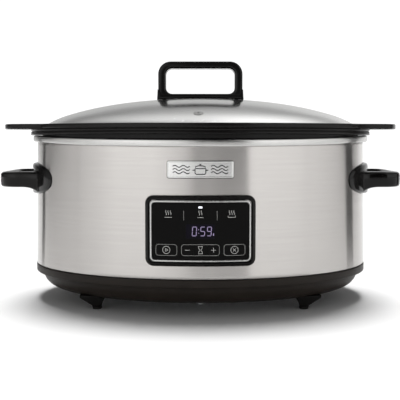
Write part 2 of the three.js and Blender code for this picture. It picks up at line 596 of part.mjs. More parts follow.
function lidHandle() {
  const { halfWidth, topZ, corner, depth, screwX } = LID_HANDLE;
  const footZ = domeZ(halfWidth) - 8;
  const tall = topZ - footZ;
  const frame = frontPrism(
    roundedRectangle(2 * halfWidth, tall, corner, 0, footZ + tall / 2), -depth / 2, depth / 2,
  );
  const openTall = LID_HANDLE.openTopZ - LID_HANDLE.openBottomZ;
  const openMiddleZ = LID_HANDLE.openBottomZ + openTall / 2;
  const fingerShape = roundedRectangle(
    2 * LID_HANDLE.openHalfWidth, openTall, LID_HANDLE.openCorner, 0, openMiddleZ,
  );
  const finger = frontPrism(fingerShape, -depth, depth);
  const seatTop = domeStations.slice(0, 3).reverse().map((r) => [r, domeZ(r) + GAP]);
  const seat = oval([[0, 190], [120, 190], ...seatTop]);
  const screwBores = SIDES.map(([, side]) => barZ(2.3, 200, 231, side * screwX, 0));
  return cut(frame, finger, seat, ...screwBores);
}

part("lid_handle", lidHandle(), BLACK_PLASTIC);

const LID_SCREW = { headBottomZ: 211, headTopZ: 214, headRadius: 3.7, radius: 1.9, topZ: 229 };
const GASKET = { bottomZ: 214.3, topZ: 215.7, radius: 4.2, bore: 2.3 };
for (const [sideName, side] of SIDES) {
  const x = side * LID_HANDLE.screwX;
  const head = barZ(LID_SCREW.headRadius, LID_SCREW.headBottomZ, LID_SCREW.headTopZ, x, 0);
  const shank = barZ(LID_SCREW.radius, LID_SCREW.headTopZ - 1, LID_SCREW.topZ, x, 0);
  part(`lid_screw_${sideName}`, join(head, shank), BLACK_COAT);
  const washer = barZ(GASKET.radius, GASKET.bottomZ, GASKET.topZ, x, 0);
  part(`lid_gasket_${sideName}`, cut(washer, barZ(GASKET.bore, 205, 220, x, 0)), RUBBER);
}

export default slowCooker;
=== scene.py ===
"""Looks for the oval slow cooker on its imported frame. Blender 4.5, metres, Z up, front towards -Y.

Lengths are millimetres until a mesh is made, except in the studio's section, which is in metres.
An oval is given by its half-width along X; its half-depth is that times DEPTH_RATIO.
"""

import json
import math

import bmesh
import bpy
from mathutils import Matrix, Vector


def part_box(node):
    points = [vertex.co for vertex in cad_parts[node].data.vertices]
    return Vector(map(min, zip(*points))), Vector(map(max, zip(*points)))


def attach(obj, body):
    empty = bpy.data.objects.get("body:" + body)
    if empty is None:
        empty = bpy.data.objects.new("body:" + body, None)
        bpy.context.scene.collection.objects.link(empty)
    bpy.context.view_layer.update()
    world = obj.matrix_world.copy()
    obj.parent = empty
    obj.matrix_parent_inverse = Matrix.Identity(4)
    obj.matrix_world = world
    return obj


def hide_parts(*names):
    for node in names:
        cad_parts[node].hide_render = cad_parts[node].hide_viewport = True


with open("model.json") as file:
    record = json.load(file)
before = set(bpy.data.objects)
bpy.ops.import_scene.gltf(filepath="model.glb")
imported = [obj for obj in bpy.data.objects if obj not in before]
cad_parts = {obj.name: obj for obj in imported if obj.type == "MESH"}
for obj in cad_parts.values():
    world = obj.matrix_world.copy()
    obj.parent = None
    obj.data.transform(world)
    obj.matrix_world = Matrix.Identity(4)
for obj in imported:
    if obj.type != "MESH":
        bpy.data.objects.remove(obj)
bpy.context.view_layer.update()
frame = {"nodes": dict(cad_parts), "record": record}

MM = 0.001
SEGMENTS = 256  # round an oval
SIDES = (("left", -1), ("right", 1))
TAU = 2 * math.pi


def span(node):
    """Lowest and highest corner of a CAD node, in millimetres."""
    low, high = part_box(node)
    return low / MM, high / MM


# ------------------------------------------------------------------ sizes taken from the frame

casing_low, casing_high = span("outer_casing")
DEPTH_RATIO = casing_high.y / casing_high.x
CASING_TAPER = 2.5  # how much narrower the casing's half-width is at its top


def casing_half_width(z):
    share = (z - casing_low.z) / (casing_high.z - casing_low.z)
    return casing_high.x - CASING_TAPER * share


def front_y(half_width, x):
    """Y of the front of an oval at a given x."""
    return -DEPTH_RATIO * math.sqrt(max(half_width**2 - x**2, 0))


def side_x(half_width, y):
    """X of the right side of an oval at a given y."""
    return math.sqrt(max(half_width**2 - (y / DEPTH_RATIO) ** 2, 0))


# ------------------------------------------------------------------ mesh helpers


def link(name, mesh):
    obj = bpy.data.objects.new(name, mesh)
    bpy.context.scene.collection.objects.link(obj)
    return obj


def from_bmesh(name, bm, sharp=40):
    """A shaded object from a bmesh in millimetres. Edges over the sharp angle stay crisp."""
    bmesh.ops.remove_doubles(bm, verts=bm.verts, dist=1e-4)
    bmesh.ops.dissolve_degenerate(bm, edges=bm.edges, dist=1e-5)
    bmesh.ops.recalc_face_normals(bm, faces=bm.faces)
    bmesh.ops.scale(bm, vec=(MM, MM, MM), verts=bm.verts)
    mesh = bpy.data.meshes.new(name)
    bm.to_mesh(mesh)
    bm.free()
    mesh.shade_smooth()
    mesh.set_sharp_from_angle(angle=math.radians(sharp))
    return link(name, mesh)


def rounded(points, steps=5, closed=False):
    """Replaces each corner of (half-width, z, radius) points with a curve of about that radius."""
    out = []
    count = len(points)
    for i, (r, z, radius) in enumerate(points):
        if radius == 0 or (not closed and i in (0, count - 1)):
            out.append((r, z))
            continue
        here = Vector((r, z))
        ends = []
        for other in (points[i - 1], points[(i + 1) % count]):
            arm = Vector(other[:2]) - here
            ends.append(here + arm.normalized() * min(radius, 0.45 * arm.length))
        for k in range(steps + 1):
            t = k / steps
            spot = ends[0] * (1 - t) ** 2 + here * (2 * t * (1 - t)) + ends[1] * t**2
            out.append((spot.x, spot.y))
    return out


def bridge(bm, rings, closed_profile):
    """Quads between successive rings of vertices; a ring of one vertex is a pole."""
    pairs = list(zip(rings, rings[1:]))
    if closed_profile:
        pairs.append((rings[-1], rings[0]))
    for low, high in pairs:
        count = max(len(low), len(high))
        for k in range(count):
            corners = [low[k % len(low)], low[(k + 1) % count % len(low)]]
            corners += [high[(k + 1) % count % len(high)], high[k % len(high)]]
            unique = list(dict.fromkeys(corners))
            if len(unique) > 2:
                bm.faces.new(unique)


def lathe(profile, closed=True, segments=SEGMENTS, squeeze=DEPTH_RATIO, lift=None):
    """Turns a (half-width, z) profile about Z and squeezes its depth."""
    bm = bmesh.new()
    rings = []
    for r, z in profile:
        ring = []
        for k in range(segments if r > 0 else 1):
            x = r * math.cos(TAU * k / segments)
            y = r * math.sin(TAU * k / segments) * squeeze
            ring.append(bm.verts.new((x, y, z + (lift(x) if lift else 0))))
        rings.append(ring)
    bridge(bm, rings, closed)
    return bm


def arc_points(cx, cz, radius, start, end, steps=8):
    """Points of an arc; angles in turns."""
    turn = [TAU * (start + (end - start) * k / steps) for k in range(steps + 1)]
    return [(cx + radius * math.cos(a), cz + radius * math.sin(a)) for a in turn]


def rectangle(half_width, half_height, corner, cx=0.0, cz=0.0, steps=8):
    """A rounded rectangle's outline, anticlockwise from its lower right corner."""
    out = []
    for sx, sz, start in ((1, -1, 0.75), (1, 1, 0), (-1, 1, 0.25), (-1, -1, 0.5)):
        x, z = cx + sx * (half_width - corner), cz + sz * (half_height - corner)
        out += arc_points(x, z, corner, start, start + 0.25, steps)
    return out


def densified(outline, step=2.0, closed=True):
    """The same outline with long straight runs divided."""
    out = []
    ends = outline[1:] + outline[:1] if closed else outline[1:]
    for (x0, z0), (x1, z1) in zip(outline, ends):
        cuts = max(1, round(math.hypot(x1 - x0, z1 - z0) / step))
        out += [(x0 + (x1 - x0) * k / cuts, z0 + (z1 - z0) * k / cuts) for k in range(cuts)]
    return out if closed else [*out, outline[-1]]


def turned_to(outline, anticlockwise):
    """The outline in the asked direction."""
    pairs = zip(outline, outline[1:] + outline[:1])
    area = sum(x0 * z1 - x1 * z0 for (x0, z0), (x1, z1) in pairs)
    return outline if (area > 0) == anticlockwise else outline[::-1]


def curve_bmesh(paths, **settings):
    """The mesh of a curve with these settings; each path is (points, closed)."""
    curve = bpy.data.curves.new("path", "CURVE")
    for key, value in settings.items():
        setattr(curve, key, value)
    for points, closed in paths:
        spline = curve.splines.new("POLY")
        spline.points.add(len(points) - 1)
        for point, spot in zip(spline.points, points):
            point.co = (*spot, 1)
        spline.use_cyclic_u = closed
    holder = link("path", curve)
    mesh = bpy.data.meshes.new_from_object(holder)
    bpy.data.objects.remove(holder)
    bm = bmesh.new()
    bm.from_mesh(mesh)
    bpy.data.meshes.remove(mesh)
    return bm


def plate_bmesh(outlines, thickness, bevel, bevel_steps=3):
    """A bevelled plate in the XZ plane from closed outlines, later ones being holes.

    Its Y runs from 0 at the back to -thickness at the front.
    """
    outlines = [turned_to(outline, i == 0) for i, outline in enumerate(outlines)]
    bm = curve_bmesh(
        [([(x, z, 0) for x, z in outline], True) for outline in outlines],
        dimensions="2D", fill_mode="BOTH", extrude=thickness / 2 - bevel,
        bevel_depth=bevel, bevel_resolution=bevel_steps, offset=-bevel,
    )
    for v in bm.verts:
        v.co = (v.co.x, -v.co.z - thickness / 2, v.co.y)
    bmesh.ops.remove_doubles(bm, verts=bm.verts, dist=1e-4)
    return bm


def slice_along_x(bm, step=2.0):
    """Divides a flat plate so that it can follow a curve."""
    low = min(v.co.x for v in bm.verts)
    high = max(v.co.x for v in bm.verts)
    x = low + step
    while x < high - step / 4:
        geometry = bm.verts[:] + bm.edges[:] + bm.faces[:]
        bmesh.ops.bisect_plane(bm, geom=geometry, plane_co=(x, 0, 0), plane_no=(1, 0, 0))
        x += step


def wrap_front(bm, half_width):
    """Bends a flat front plate onto the oval whose half-width its Y 0 stands for."""
    for v in bm.verts:
        v.co.y = front_y(half_width - v.co.y, v.co.x)


def front_plate(name, outlines, back, front, bevel):
    """A bevelled plate on the front, between two oval half-widths."""
    bm = plate_bmesh(outlines, front - back, bevel)
    slice_along_x(bm)
    wrap_front(bm, back)
    return from_bmesh(name, bm, 30)


def front_frame(name, half_width, half_height, corner, cz, sections):
    """A rounded rectangular ring on the front. Each section point is (inset, oval half-width)."""
    bm = bmesh.new()
    rings = []
    base = rectangle(half_width, half_height, corner, 0, cz, 10)
    marks = densified(base, 2.0)
    for inset, layer in sections:
        ring = []
        for x, z in marks:
            # A point moves in towards the straight core of the outline.
            core_x = max(-half_width + corner, min(half_width - corner, x))
            core_z = max(-half_height + corner, min(half_height - corner, z - cz))
            away = Vector((x - core_x, z - cz - core_z))
            keep = (away.length - inset) / away.length
            px, pz = core_x + away.x * keep, cz + core_z + away.y * keep
            ring.append(bm.verts.new((px, front_y(layer, px), pz)))
        rings.append(ring)
    bridge(bm, rings, True)
    return from_bmesh(name, bm, 50)


def strokes(name, paths, width, layer, rise=0.06):
    """Printed lines on the front: each path is (points, closed). They stand a hair proud."""
    dense = [([(x, 0, z) for x, z in densified(points, 1.5, shut)], shut) for points, shut in paths]
    bm = curve_bmesh(
        dense, dimensions="3D", bevel_depth=width / 2, bevel_resolution=1, use_fill_caps=True,
    )
    for v in bm.verts:
        v.co.y = front_y(layer - v.co.y * 2 * rise / width, v.co.x)
    return from_bmesh(name, bm, 60)


def run_modifiers(obj):
    """Applies an object's modifiers to its mesh."""
    depsgraph = bpy.context.evaluated_depsgraph_get()
    mesh = bpy.data.meshes.new_from_object(obj.evaluated_get(depsgraph))
    obj.modifiers.clear()
    obj.data = mesh
    return obj


def cut_with(obj, *cutters):
    """Subtracts cutter objects from obj and removes them."""
    for cutter in cutters:
        modifier = obj.modifiers.new("cut", "BOOLEAN")
        modifier.operation = "DIFFERENCE"
        modifier.solver = "EXACT"
        modifier.object = cutter
    run_modifiers(obj)
    for cutter in cutters:
        bpy.data.objects.remove(cutter)
    obj.data.set_sharp_from_angle(angle=math.radians(40))
    return obj


def mirrored(obj, name):
    """A copy on the other side of the YZ plane."""
    mesh = obj.data.copy()
    mesh.transform(Matrix.Scale(-1, 4, (1, 0, 0)))
    mesh.flip_normals()
    return link(name, mesh)


# ------------------------------------------------------------------ materials


class Nodes:
    """A node tree and the steps that materials and the studio share."""

    def __init__(self, tree):
        self.tree = tree

    def node(self, kind, **settings):
        node = self.tree.nodes.new("ShaderNode" + kind)
        for key, value in settings.items():
            setattr(node, key, value)
        return node

    def wire(self, source, target):
        self.tree.links.new(source, target)

    def ranged(self, value, low, high, start=0.3, end=0.7, **settings):
        """Maps a value between start and end onto low to high."""
        made = self.node("MapRange", **settings)
        limits = {"From Min": start, "From Max": end, "To Min": low, "To Max": high}
        for key, number in limits.items():
            made.inputs[key].default_value = number
        self.wire(value, made.inputs["Value"])
        return made.outputs["Result"]

    def ramp(self, value, stops):
        """A colour by value, from (position, colour) stops."""
        made = self.node("ValToRGB")
        elements = made.color_ramp.elements
        while len(elements) < len(stops):
            elements.new(0.5)
        for element, (position, color) in zip(elements, stops):
            element.position = position
            element.color = (*color, 1)
        self.wire(value, made.inputs["Fac"])
        return made.outputs["Color"]


class Finish(Nodes):
    """A Principled material whose detail comes from procedural nodes."""

    def __init__(self, name, color, roughness, **sockets):
        self.material = bpy.data.materials.new(name)
        self.material.use_nodes = True
        super().__init__(self.material.node_tree)
        self.shader = self.tree.nodes["Principled BSDF"]
        self.color = color
        self.shader.inputs["Base Color"].default_value = (*color, 1)
        self.shader.inputs["Roughness"].default_value = roughness
        for socket, value in sockets.items():
            self.shader.inputs[socket.replace("_", " ")].default_value = value
        self.bumps = []

    def noise(self, scale, detail=3.0, stretch=(1, 1, 1), offset=(0, 0, 0)):
        """A noise over the piece's own coordinates; scale is in cells per metre."""
        own = self.node("TexCoord")
        mapping = self.node("Mapping")
        mapping.inputs["Scale"].default_value = stretch
        mapping.inputs["Location"].default_value = offset
        noise = self.node("TexNoise")
        noise.inputs["Scale"].default_value = scale
        noise.inputs["Detail"].default_value = detail
        self.wire(own.outputs["Object"], mapping.inputs["Vector"])
        self.wire(mapping.outputs["Vector"], noise.inputs["Vector"])
        return noise.outputs["Fac"]

    def vary_color(self, value, dark, light):
        """The base colour runs from dark to light with a value."""
        self.wire(self.ramp(value, [(0.3, dark), (0.7, light)]), self.shader.inputs["Base Color"])
        return self

    def shade(self, value, spread):
        """The base colour varies by a share of itself."""
        dark = tuple(c * (1 - spread) for c in self.color)
        light = tuple(min(1, c * (1 + spread)) for c in self.color)
        return self.vary_color(value, dark, light)

    def vary_roughness(self, value, low, high):
        self.wire(self.ranged(value, low, high), self.shader.inputs["Roughness"])
        return self

    def bump(self, height, strength, distance):
        """Adds a bump on top of those already there."""
        node = self.node("Bump")
        node.inputs["Strength"].default_value = strength
        node.inputs["Distance"].default_value = distance
        self.wire(height, node.inputs["Height"])
        if self.bumps:
            self.wire(self.bumps[-1].outputs["Normal"], node.inputs["Normal"])
        self.wire(node.outputs["Normal"], self.shader.inputs["Normal"])
        self.bumps.append(node)
        return self

    def brush(self, amount):
        """Brushed metal: the brush went round the oval, so gloss spreads up and down."""
        tangent = self.node("Tangent", direction_type="RADIAL", axis="Z")
        self.shader.inputs["Anisotropic"].default_value = amount
        self.shader.inputs["Anisotropic Rotation"].default_value = 0.25
        self.wire(tangent.outputs["Tangent"], self.shader.inputs["Tangent"])
        return self


def detailed(name, color, roughness, tint, gloss, relief, **sockets):
    """A finish from three noises, each given by the arguments of Finish.noise.

    tint is (noise, spread), gloss is (noise, low, high) and relief is (noise, strength, depth).
    """
    made = Finish(name, color, roughness, **sockets)
    made.shade(made.noise(*tint[0]), tint[1])
    made.vary_roughness(made.noise(*gloss[0]), *gloss[1:])
    return made.bump(made.noise(*relief[0]), *relief[1:])


def metal(name, color, roughness, tint, gloss, relief):
    return detailed(name, color, roughness, tint, gloss, relief, Metallic=1.0)


def brushed_steel():
    lines, broad = (1.0, 4, (9, 9, 2600)), (1.0, 3, (14, 14, 420), (3, 1, 7))
    return metal(
        "brushed_steel", (0.482, 0.464, 0.448), 0.22, (broad, 0.02), (lines, 0.19, 0.25),
        (lines, 0.04, 0.00005),
    ).brush(1.0).material


def satin_steel():
    lines = (1.0, 4, (12, 12, 1800))
    return metal(
        "satin_steel", (0.52, 0.515, 0.505), 0.24, ((90,), 0.03), (lines, 0.2, 0.3),
        (lines, 0.04, 0.00005),
    ).brush(0.6).material


def bright_trim():
    return metal(
        "bright_trim", (0.66, 0.66, 0.65), 0.22, ((60,), 0.03), ((900, 4), 0.16, 0.26),
        ((900, 4), 0.03, 0.00005),
    ).material


def trim_metal():
    return metal(
        "trim_metal", (0.5, 0.5, 0.49), 0.26, ((80,), 0.05), ((1100, 4), 0.2, 0.32),
        ((1100, 4), 0.03, 0.00005),
    ).material


def plain_steel():
    return metal(
        "plain_steel", (0.42, 0.43, 0.44), 0.4, ((40, 5), 0.12), ((160,), 0.32, 0.5),
        ((1400,), 0.08, 0.00006),
    ).material


def aluminium():
    drawn = (1.0, 4, (20, 20, 900))
    return metal(
        "aluminium", (0.62, 0.63, 0.64), 0.42, ((30, 5), 0.07), (drawn, 0.34, 0.5),
        (drawn, 0.08, 0.00006),
    ).brush(0.4).material


def bowl_coating():
    made = detailed(
        "bowl_coating", (0.0035, 0.0031, 0.0029), 0.24, ((70, 4), 0.25), ((2200, 2), 0.2, 0.3),
        ((2200, 2), 0.10, 0.00006), Specular_IOR_Level=0.17,
    )
    return made.bump(made.noise(260), 0.05, 0.0002).material


def moulded_plastic(name, color, roughness, specular, grain):
    return detailed(
        name, color, roughness, ((45, 4), 0.18), ((500,), roughness * 0.8, roughness * 1.2),
        ((3200, 2), grain, 0.00008), Specular_IOR_Level=specular,
    ).material


def gloss_fascia():
    return detailed(
        "gloss_fascia", (0.0018, 0.0017, 0.0016), 0.12, ((25,), 0.2), ((180, 5), 0.08, 0.16),
        ((120,), 0.015, 0.0001), Specular_IOR_Level=0.07,
    ).material


def display_window():
    return detailed(
        "display_window", (0.0035, 0.0026, 0.007), 0.1, ((60,), 0.25), ((300,), 0.08, 0.14),
        ((150,), 0.01, 0.0001), Specular_IOR_Level=0.07,
    ).material


def rubber():
    return detailed(
        "rubber", (0.012, 0.011, 0.0105), 0.75, ((120, 4), 0.25), ((400,), 0.66, 0.85),
        ((2600,), 0.2, 0.0001), Specular_IOR_Level=0.25,
    ).material


def printed_ink(name, color, glow=0.0):
    made = detailed(
        name, color, 0.45, ((800,), 0.06), ((600,), 0.4, 0.55), ((1500,), 0.05, 0.00005),
        Specular_IOR_Level=0.2,
    )
    if glow:
        made.shader.inputs["Emission Color"].default_value = (*color, 1)
        made.shader.inputs["Emission Strength"].default_value = glow
    return made.material


def circuit_board():
    made = Finish("circuit_board", (0.02, 0.09, 0.045), 0.4)
    made.vary_color(made.noise(350, 6), (0.012, 0.06, 0.03), (0.035, 0.14, 0.07))
    made.vary_roughness(made.noise(600), 0.3, 0.5)
    return made.bump(made.noise(700), 0.15, 0.0001).material


def winding():
    made = Finish("winding", (0.36, 0.17, 0.07), 0.45, Metallic=0.4)
    turns = made.noise(1.0, 2, (25, 25, 2200))
    made.vary_color(turns, (0.22, 0.1, 0.04), (0.45, 0.23, 0.1)).vary_roughness(turns, 0.35, 0.55)
    return made.bump(turns, 0.3, 0.0002).material


def heater_wrap():
    weave = (1.0, 3, (500, 500, 1400))
    return detailed(
        "heater_wrap", (0.36, 0.3, 0.19), 0.6, (weave, 0.25), (weave, 0.5, 0.7),
        (weave, 0.3, 0.0002), Metallic=0.2,
    ).material


def glass():
    """Clear tempered glass with a faint haze; light from lamps passes through it."""
    made = detailed(
        "lid_glass", (0.93, 0.94, 0.935), 0.02, ((20,), 0.015), ((140, 4), 0.0, 0.05),
        ((18,), 0.03, 0.0005), IOR=1.5, Transmission_Weight=1.0,
    )
    # Seen along its face the glass is mostly mirror, which a soft gloss layer strengthens.
    gloss = made.node("BsdfGlossy")
    gloss.inputs["Color"].default_value = (0.86, 0.86, 0.85, 1)
    gloss.inputs["Roughness"].default_value = 0.16
    facing = made.node("LayerWeight")
    facing.inputs["Blend"].default_value = 0.5
    share = made.ranged(facing.outputs["Facing"], 0.0, 0.94, 0.15, 0.48)
    layered = made.node("MixShader")
    made.wire(share, layered.inputs["Fac"])
    made.wire(made.shader.outputs["BSDF"], layered.inputs[1])
    made.wire(gloss.outputs["BSDF"], layered.inputs[2])
    clear = made.node("BsdfTransparent")
    clear.inputs["Color"].default_value = (0.9, 0.9, 0.9, 1)
    path = made.node("LightPath")
    mix = made.node("MixShader")
    made.wire(path.outputs["Is Shadow Ray"], mix.inputs["Fac"])
    made.wire(layered.outputs["Shader"], mix.inputs[1])
    made.wire(clear.outputs["BSDF"], mix.inputs[2])
    made.wire(mix.outputs["Shader"], made.tree.nodes["Material Output"].inputs["Surface"])
    return made.material


FINISHES = {
    "bowl_coating": bowl_coating(),
    "black_screw": moulded_plastic("black_screw", (0.003, 0.003, 0.003), 0.35, 0.4, 0.05),
    "handle_plastic": moulded_plastic("handle_plastic", (0.0022, 0.0019, 0.0017), 0.1, 0.2, 0.008),
    "base_plastic": moulded_plastic("base_plastic", (0.017, 0.0132, 0.0105), 0.42, 0.14, 0.1),
    "brushed_steel": brushed_steel(),
    "satin_steel": satin_steel(),
    "bright_trim": bright_trim(),
    "plain_steel": plain_steel(),
    "aluminium": aluminium(),
    "gloss_fascia": gloss_fascia(),
    "rubber": rubber(),
    "circuit_board": circuit_board(),
    "component": moulded_plastic("component", (0.015, 0.017, 0.022), 0.5, 0.4, 0.1),
    "winding": winding(),
    "heater_wrap": heater_wrap(),
    "lamp": printed_ink("lamp", (0.9, 0.92, 1.0), 1.0),
    "glass": glass(),
}
WINDOW = display_window()
BEZEL = moulded_plastic("bezel_plastic", (0.003, 0.0027, 0.0024), 0.3, 0.16, 0.06)
FOOT_PLASTIC = moulded_plastic("foot_plastic", (0.004, 0.0034, 0.003), 0.4, 0.12, 0.1)
TRIM = trim_metal()
GREY_RUBBER = moulded_plastic("grey_rubber", (0.27, 0.27, 0.265), 0.6, 0.3, 0.1)
INK = printed_ink("panel_ink", (0.55, 0.55, 0.53))
LINE_INK = printed_ink("line_ink", (0.3, 0.3, 0.29))
BADGE_INK = printed_ink("badge_ink", (0.012, 0.012, 0.012))
DIGIT_LIGHT = printed_ink("digit_light", (0.34, 0.28, 0.46), 0.4)

for entry in frame["record"]["subparts"]:
    shown = frame["nodes"][entry["node"]]
    shown.data.materials.clear()
    shown.data.materials.append(FINISHES[entry["material_slot"]])


def place(obj, slot, *nodes, body="base_unit", material=None):
    """Gives a piece its finish, the body it rides on and the CAD nodes it stands for."""
    obj.data.materials.clear()
    obj.data.materials.append(material or FINISHES[slot])
    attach(obj, body)
    if nodes:
        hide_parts(*nodes)
    return obj


# ------------------------------------------------------------------ base tray, feet and cover

TRAY = {"floor": 12.0, "collar_low": 30.8, "collar_top": 39.0, "wall": 2.2}
COLLAR_HALF_WIDTH = span("base_tray")[1].x


def pan_curve(start, end, low, high, bend=2.3, steps=14):
    """The rounded underside of the pan, from flat floor to upright wall."""
    out = []
    for k in range(steps + 1):
        share = math.sin(math.pi / 2 * k / steps)
        drop = (1 - share**bend) ** (1 / bend)
        out.append((start + (end - start) * share, high - (high - low) * drop))
    return out


def base_tray():
    outside = pan_curve(148, 176.6, TRAY["floor"], TRAY["collar_low"] - 0.6)
    collar = rounded([
        (outside[-1][0], outside[-1][1], 0), (176.9, TRAY["collar_low"], 0.6),
        (COLLAR_HALF_WIDTH, TRAY["collar_low"], 1.4), (COLLAR_HALF_WIDTH, TRAY["collar_top"], 1.0),
        (181.3, TRAY["collar_top"], 0.2), (181.3, TRAY["collar_top"] + 6, 0.5),
        (179.3, TRAY["collar_top"] + 6, 0.5), (179.3, TRAY["collar_low"] + 3, 1),
        (173.5, 31, 0),
    ])
    inside = pan_curve(146, 173.5, TRAY["floor"] + 2.8, 31)
    floor = [(142, TRAY["floor"] + 2.8), (142, TRAY["floor"])]
    profile = outside + collar[1:] + inside[::-1][1:] + floor
    return from_bmesh("base_shell", lathe(profile), 35)


place(base_tray(), "base_plastic", "base_tray")

FOOT = {
    "x": 107.8, "y": 84.5, "tip": 4.5, "depth": 14.0, "out": 17.5, "in": 8.5, "pad": 2.3,
    "low": 2.6, "root": 2.6,
}


def foot_outline(side):
    x, tip, low, top = FOOT["x"], FOOT["tip"], FOOT["low"], TRAY["floor"] + FOOT["root"]
    outer, inner = x + FOOT["out"], x - FOOT["in"]
    corners = [(inner, top), (inner, TRAY["floor"]), (x - tip, low + 1.5), (x - tip, low)]
    corners += [(x + tip, low), (x + tip, low + 1.5), (outer, TRAY["floor"]), (outer, top)]
    return [(side * px, pz) for px, pz in corners]


for side_name, side in SIDES:
    for end_name, end in (("front", -1), ("back", 1)):
        bm = plate_bmesh([foot_outline(side)], FOOT["depth"], 1.0)
        middle = end * FOOT["y"] + FOOT["depth"] / 2
        bmesh.ops.translate(bm, vec=(0, middle, 0), verts=bm.verts)
        wedge = from_bmesh(f"foot_wedge_{end_name}_{side_name}", bm, 35)
        place(wedge, "base_plastic", material=FOOT_PLASTIC)
        sole = rectangle(
            FOOT["tip"], FOOT["depth"] / 2, FOOT["tip"] - 0.2, side * FOOT["x"], end * FOOT["y"],
        )
        bm = plate_bmesh([sole], FOOT["pad"], 0.5)
        for v in bm.verts:
            v.co = (v.co.x, v.co.z, v.co.y + FOOT["pad"])
        pad = from_bmesh(f"foot_sole_{end_name}_{side_name}", bm, 35)
        place(pad, "rubber", f"foot_pad_{end_name}_{side_name}")

cover_low, cover_high = span("bottom_cover")


def bottom_cover():
    """A thin sheet with a shallow stiffening bead pressed into it all the way round."""
    low, top, rim, bead = cover_low.z, cover_high.z, cover_high.x, 1.2
    sheet = [
        (0, low, 0), (96, low, 0), (100, low + bead, 2), (112, low + bead, 2), (116, low, 0),
        (rim, low, 0.5), (rim, top, 0.5), (116.5, top, 0), (112.5, top + bead, 2),
        (99.5, top + bead, 2), (95.5, top, 0), (0, top, 0),
    ]
    return from_bmesh("cover_sheet", lathe(rounded(sheet), closed=False), 35)


place(bottom_cover(), "plain_steel", "bottom_cover")


def turned(name, profile, place_matrix, closed=True, segments=48):
    """A round piece turned about Z, then put where a matrix in millimetres says."""
    bm = lathe(profile, closed, segments, squeeze=1)
    bmesh.ops.transform(bm, matrix=place_matrix, verts=bm.verts)
    return from_bmesh(name, bm, 35)


def cross_slots(radius, depth, place_matrix):
    """Two cutters for a screw's cross recess."""
    size = Matrix.Diagonal((radius * 2, radius * 0.42, depth, 1))
    cutters = []
    for turn in (0, math.pi / 2):
        bm = bmesh.new()
        put = place_matrix @ Matrix.Rotation(turn, 4, "Z") @ size
        bmesh.ops.create_cube(bm, size=1, matrix=put)
        cutters.append(from_bmesh("slot_cutter", bm))
    return cutters


def cover_screw(name, node):
    """A pan-head screw that points up, with a cross recess in its head."""
    low, high = span(node)
    middle = (low + high) / 2
    head, shank = (high.x - low.x) / 2, 1.7
    tall = high.z - low.z
    profile = rounded([
        (0, 0, 0), (head * 0.62, 0.05, 0.6), (head, 1.1, 0.9), (head, 2.1, 0.2), (shank, 2.1, 0.1),
        (shank, tall, 0.3), (0, tall, 0),
    ])
    put = Matrix.Translation((middle.x, middle.y, low.z))
    screw = turned(name, profile, put, closed=False, segments=40)
    return cut_with(screw, *cross_slots(head * 0.58, 1.6, put))


for spot in ("left", "right", "front", "back"):
    node = f"cover_screw_{spot}"
    place(cover_screw(f"pan_screw_{spot}", node), "plain_steel", node)

gland_low, gland_high = span("cord_gland")
GLAND_Z = (gland_low.z + gland_high.z) / 2
lengthways = Matrix.Translation((0, gland_low.y, GLAND_Z)) @ Matrix.Rotation(-math.pi / 2, 4, "X")
gland_long = gland_high.y - gland_low.y
gland_profile = rounded([
    (3.2, 0, 0.3), (4.4, 0, 0.3), (4.4, gland_long - 2.6, 0.1), (5.8, gland_long - 2.6, 0.2),
    (5.8, gland_long - 0.8, 0.8), (4.4, gland_long, 0.5), (3.2, gland_long, 0.4),
], closed=True)
place(turned("gland_bush", gland_profile, lengthways), "handle_plastic", "cord_gland")

# ------------------------------------------------------------------ casing, rim band and badge

ROWS = 36  # rows of faces up the casing's wall
CASING_SHEET = 1.2
WINDOW_HALF = (47.3, 27.9)
panel_low, panel_high = span("panel_frame")
PANEL_Z = (panel_low.z + panel_high.z) / 2


def casing_sheet():
    """The steel wrap: one skin with the panel's window left out, then given its thickness."""
    tall = casing_high.z - casing_low.z
    heights = [casing_low.z + tall * k / ROWS for k in range(ROWS + 1)]
    profile = [(casing_half_width(casing_low.z) - 0.7, casing_low.z)]
    profile += [(casing_half_width(z), z) for z in [casing_low.z + 0.7, *heights[1:]]]
    bm = lathe(profile, closed=False)
    behind_panel = []
    for face in bm.faces:
        middle = face.calc_center_median()
        inside = abs(middle.x) < WINDOW_HALF[0] and abs(middle.z - PANEL_Z) < WINDOW_HALF[1]
        if inside and middle.y < 0:
            behind_panel.append(face)
    bmesh.ops.delete(bm, geom=behind_panel, context="FACES")
    obj = from_bmesh("casing_sheet", bm, 40)
    modifier = obj.modifiers.new("sheet", "SOLIDIFY")
    modifier.thickness = CASING_SHEET * MM
    modifier.offset = -1
    return run_modifiers(obj)


place(casing_sheet(), "brushed_steel", "outer_casing")

rim_low, rim_high = span("rim_ring")
RIM_RISE, RIM_POWER = 4.0, 2.5  # the band rises towards both ends of the oval
RIM_SKIRT, RIM_MOUTH = 182.0, 177.5  # inside half-widths, over the casing and at the top
rim_top, rim_ledge = rim_high.z - RIM_RISE, casing_high.z + 0.5


def rim_lift(x):
    return RIM_RISE * (abs(x) / rim_high.x) ** RIM_POWER


rim_profile = rounded([
    (RIM_SKIRT, rim_low.z, 0.3), (rim_high.x - 0.2, rim_low.z, 1.6), (rim_high.x, rim_top, 2.6),
    (RIM_MOUTH, rim_top, 0.4), (RIM_MOUTH, rim_ledge, 0.3), (RIM_SKIRT, rim_ledge, 0.3),
], 6, closed=True)
rim = from_bmesh("rim_band", lathe(rim_profile, lift=rim_lift), 35)
place(rim, "satin_steel", "rim_ring")

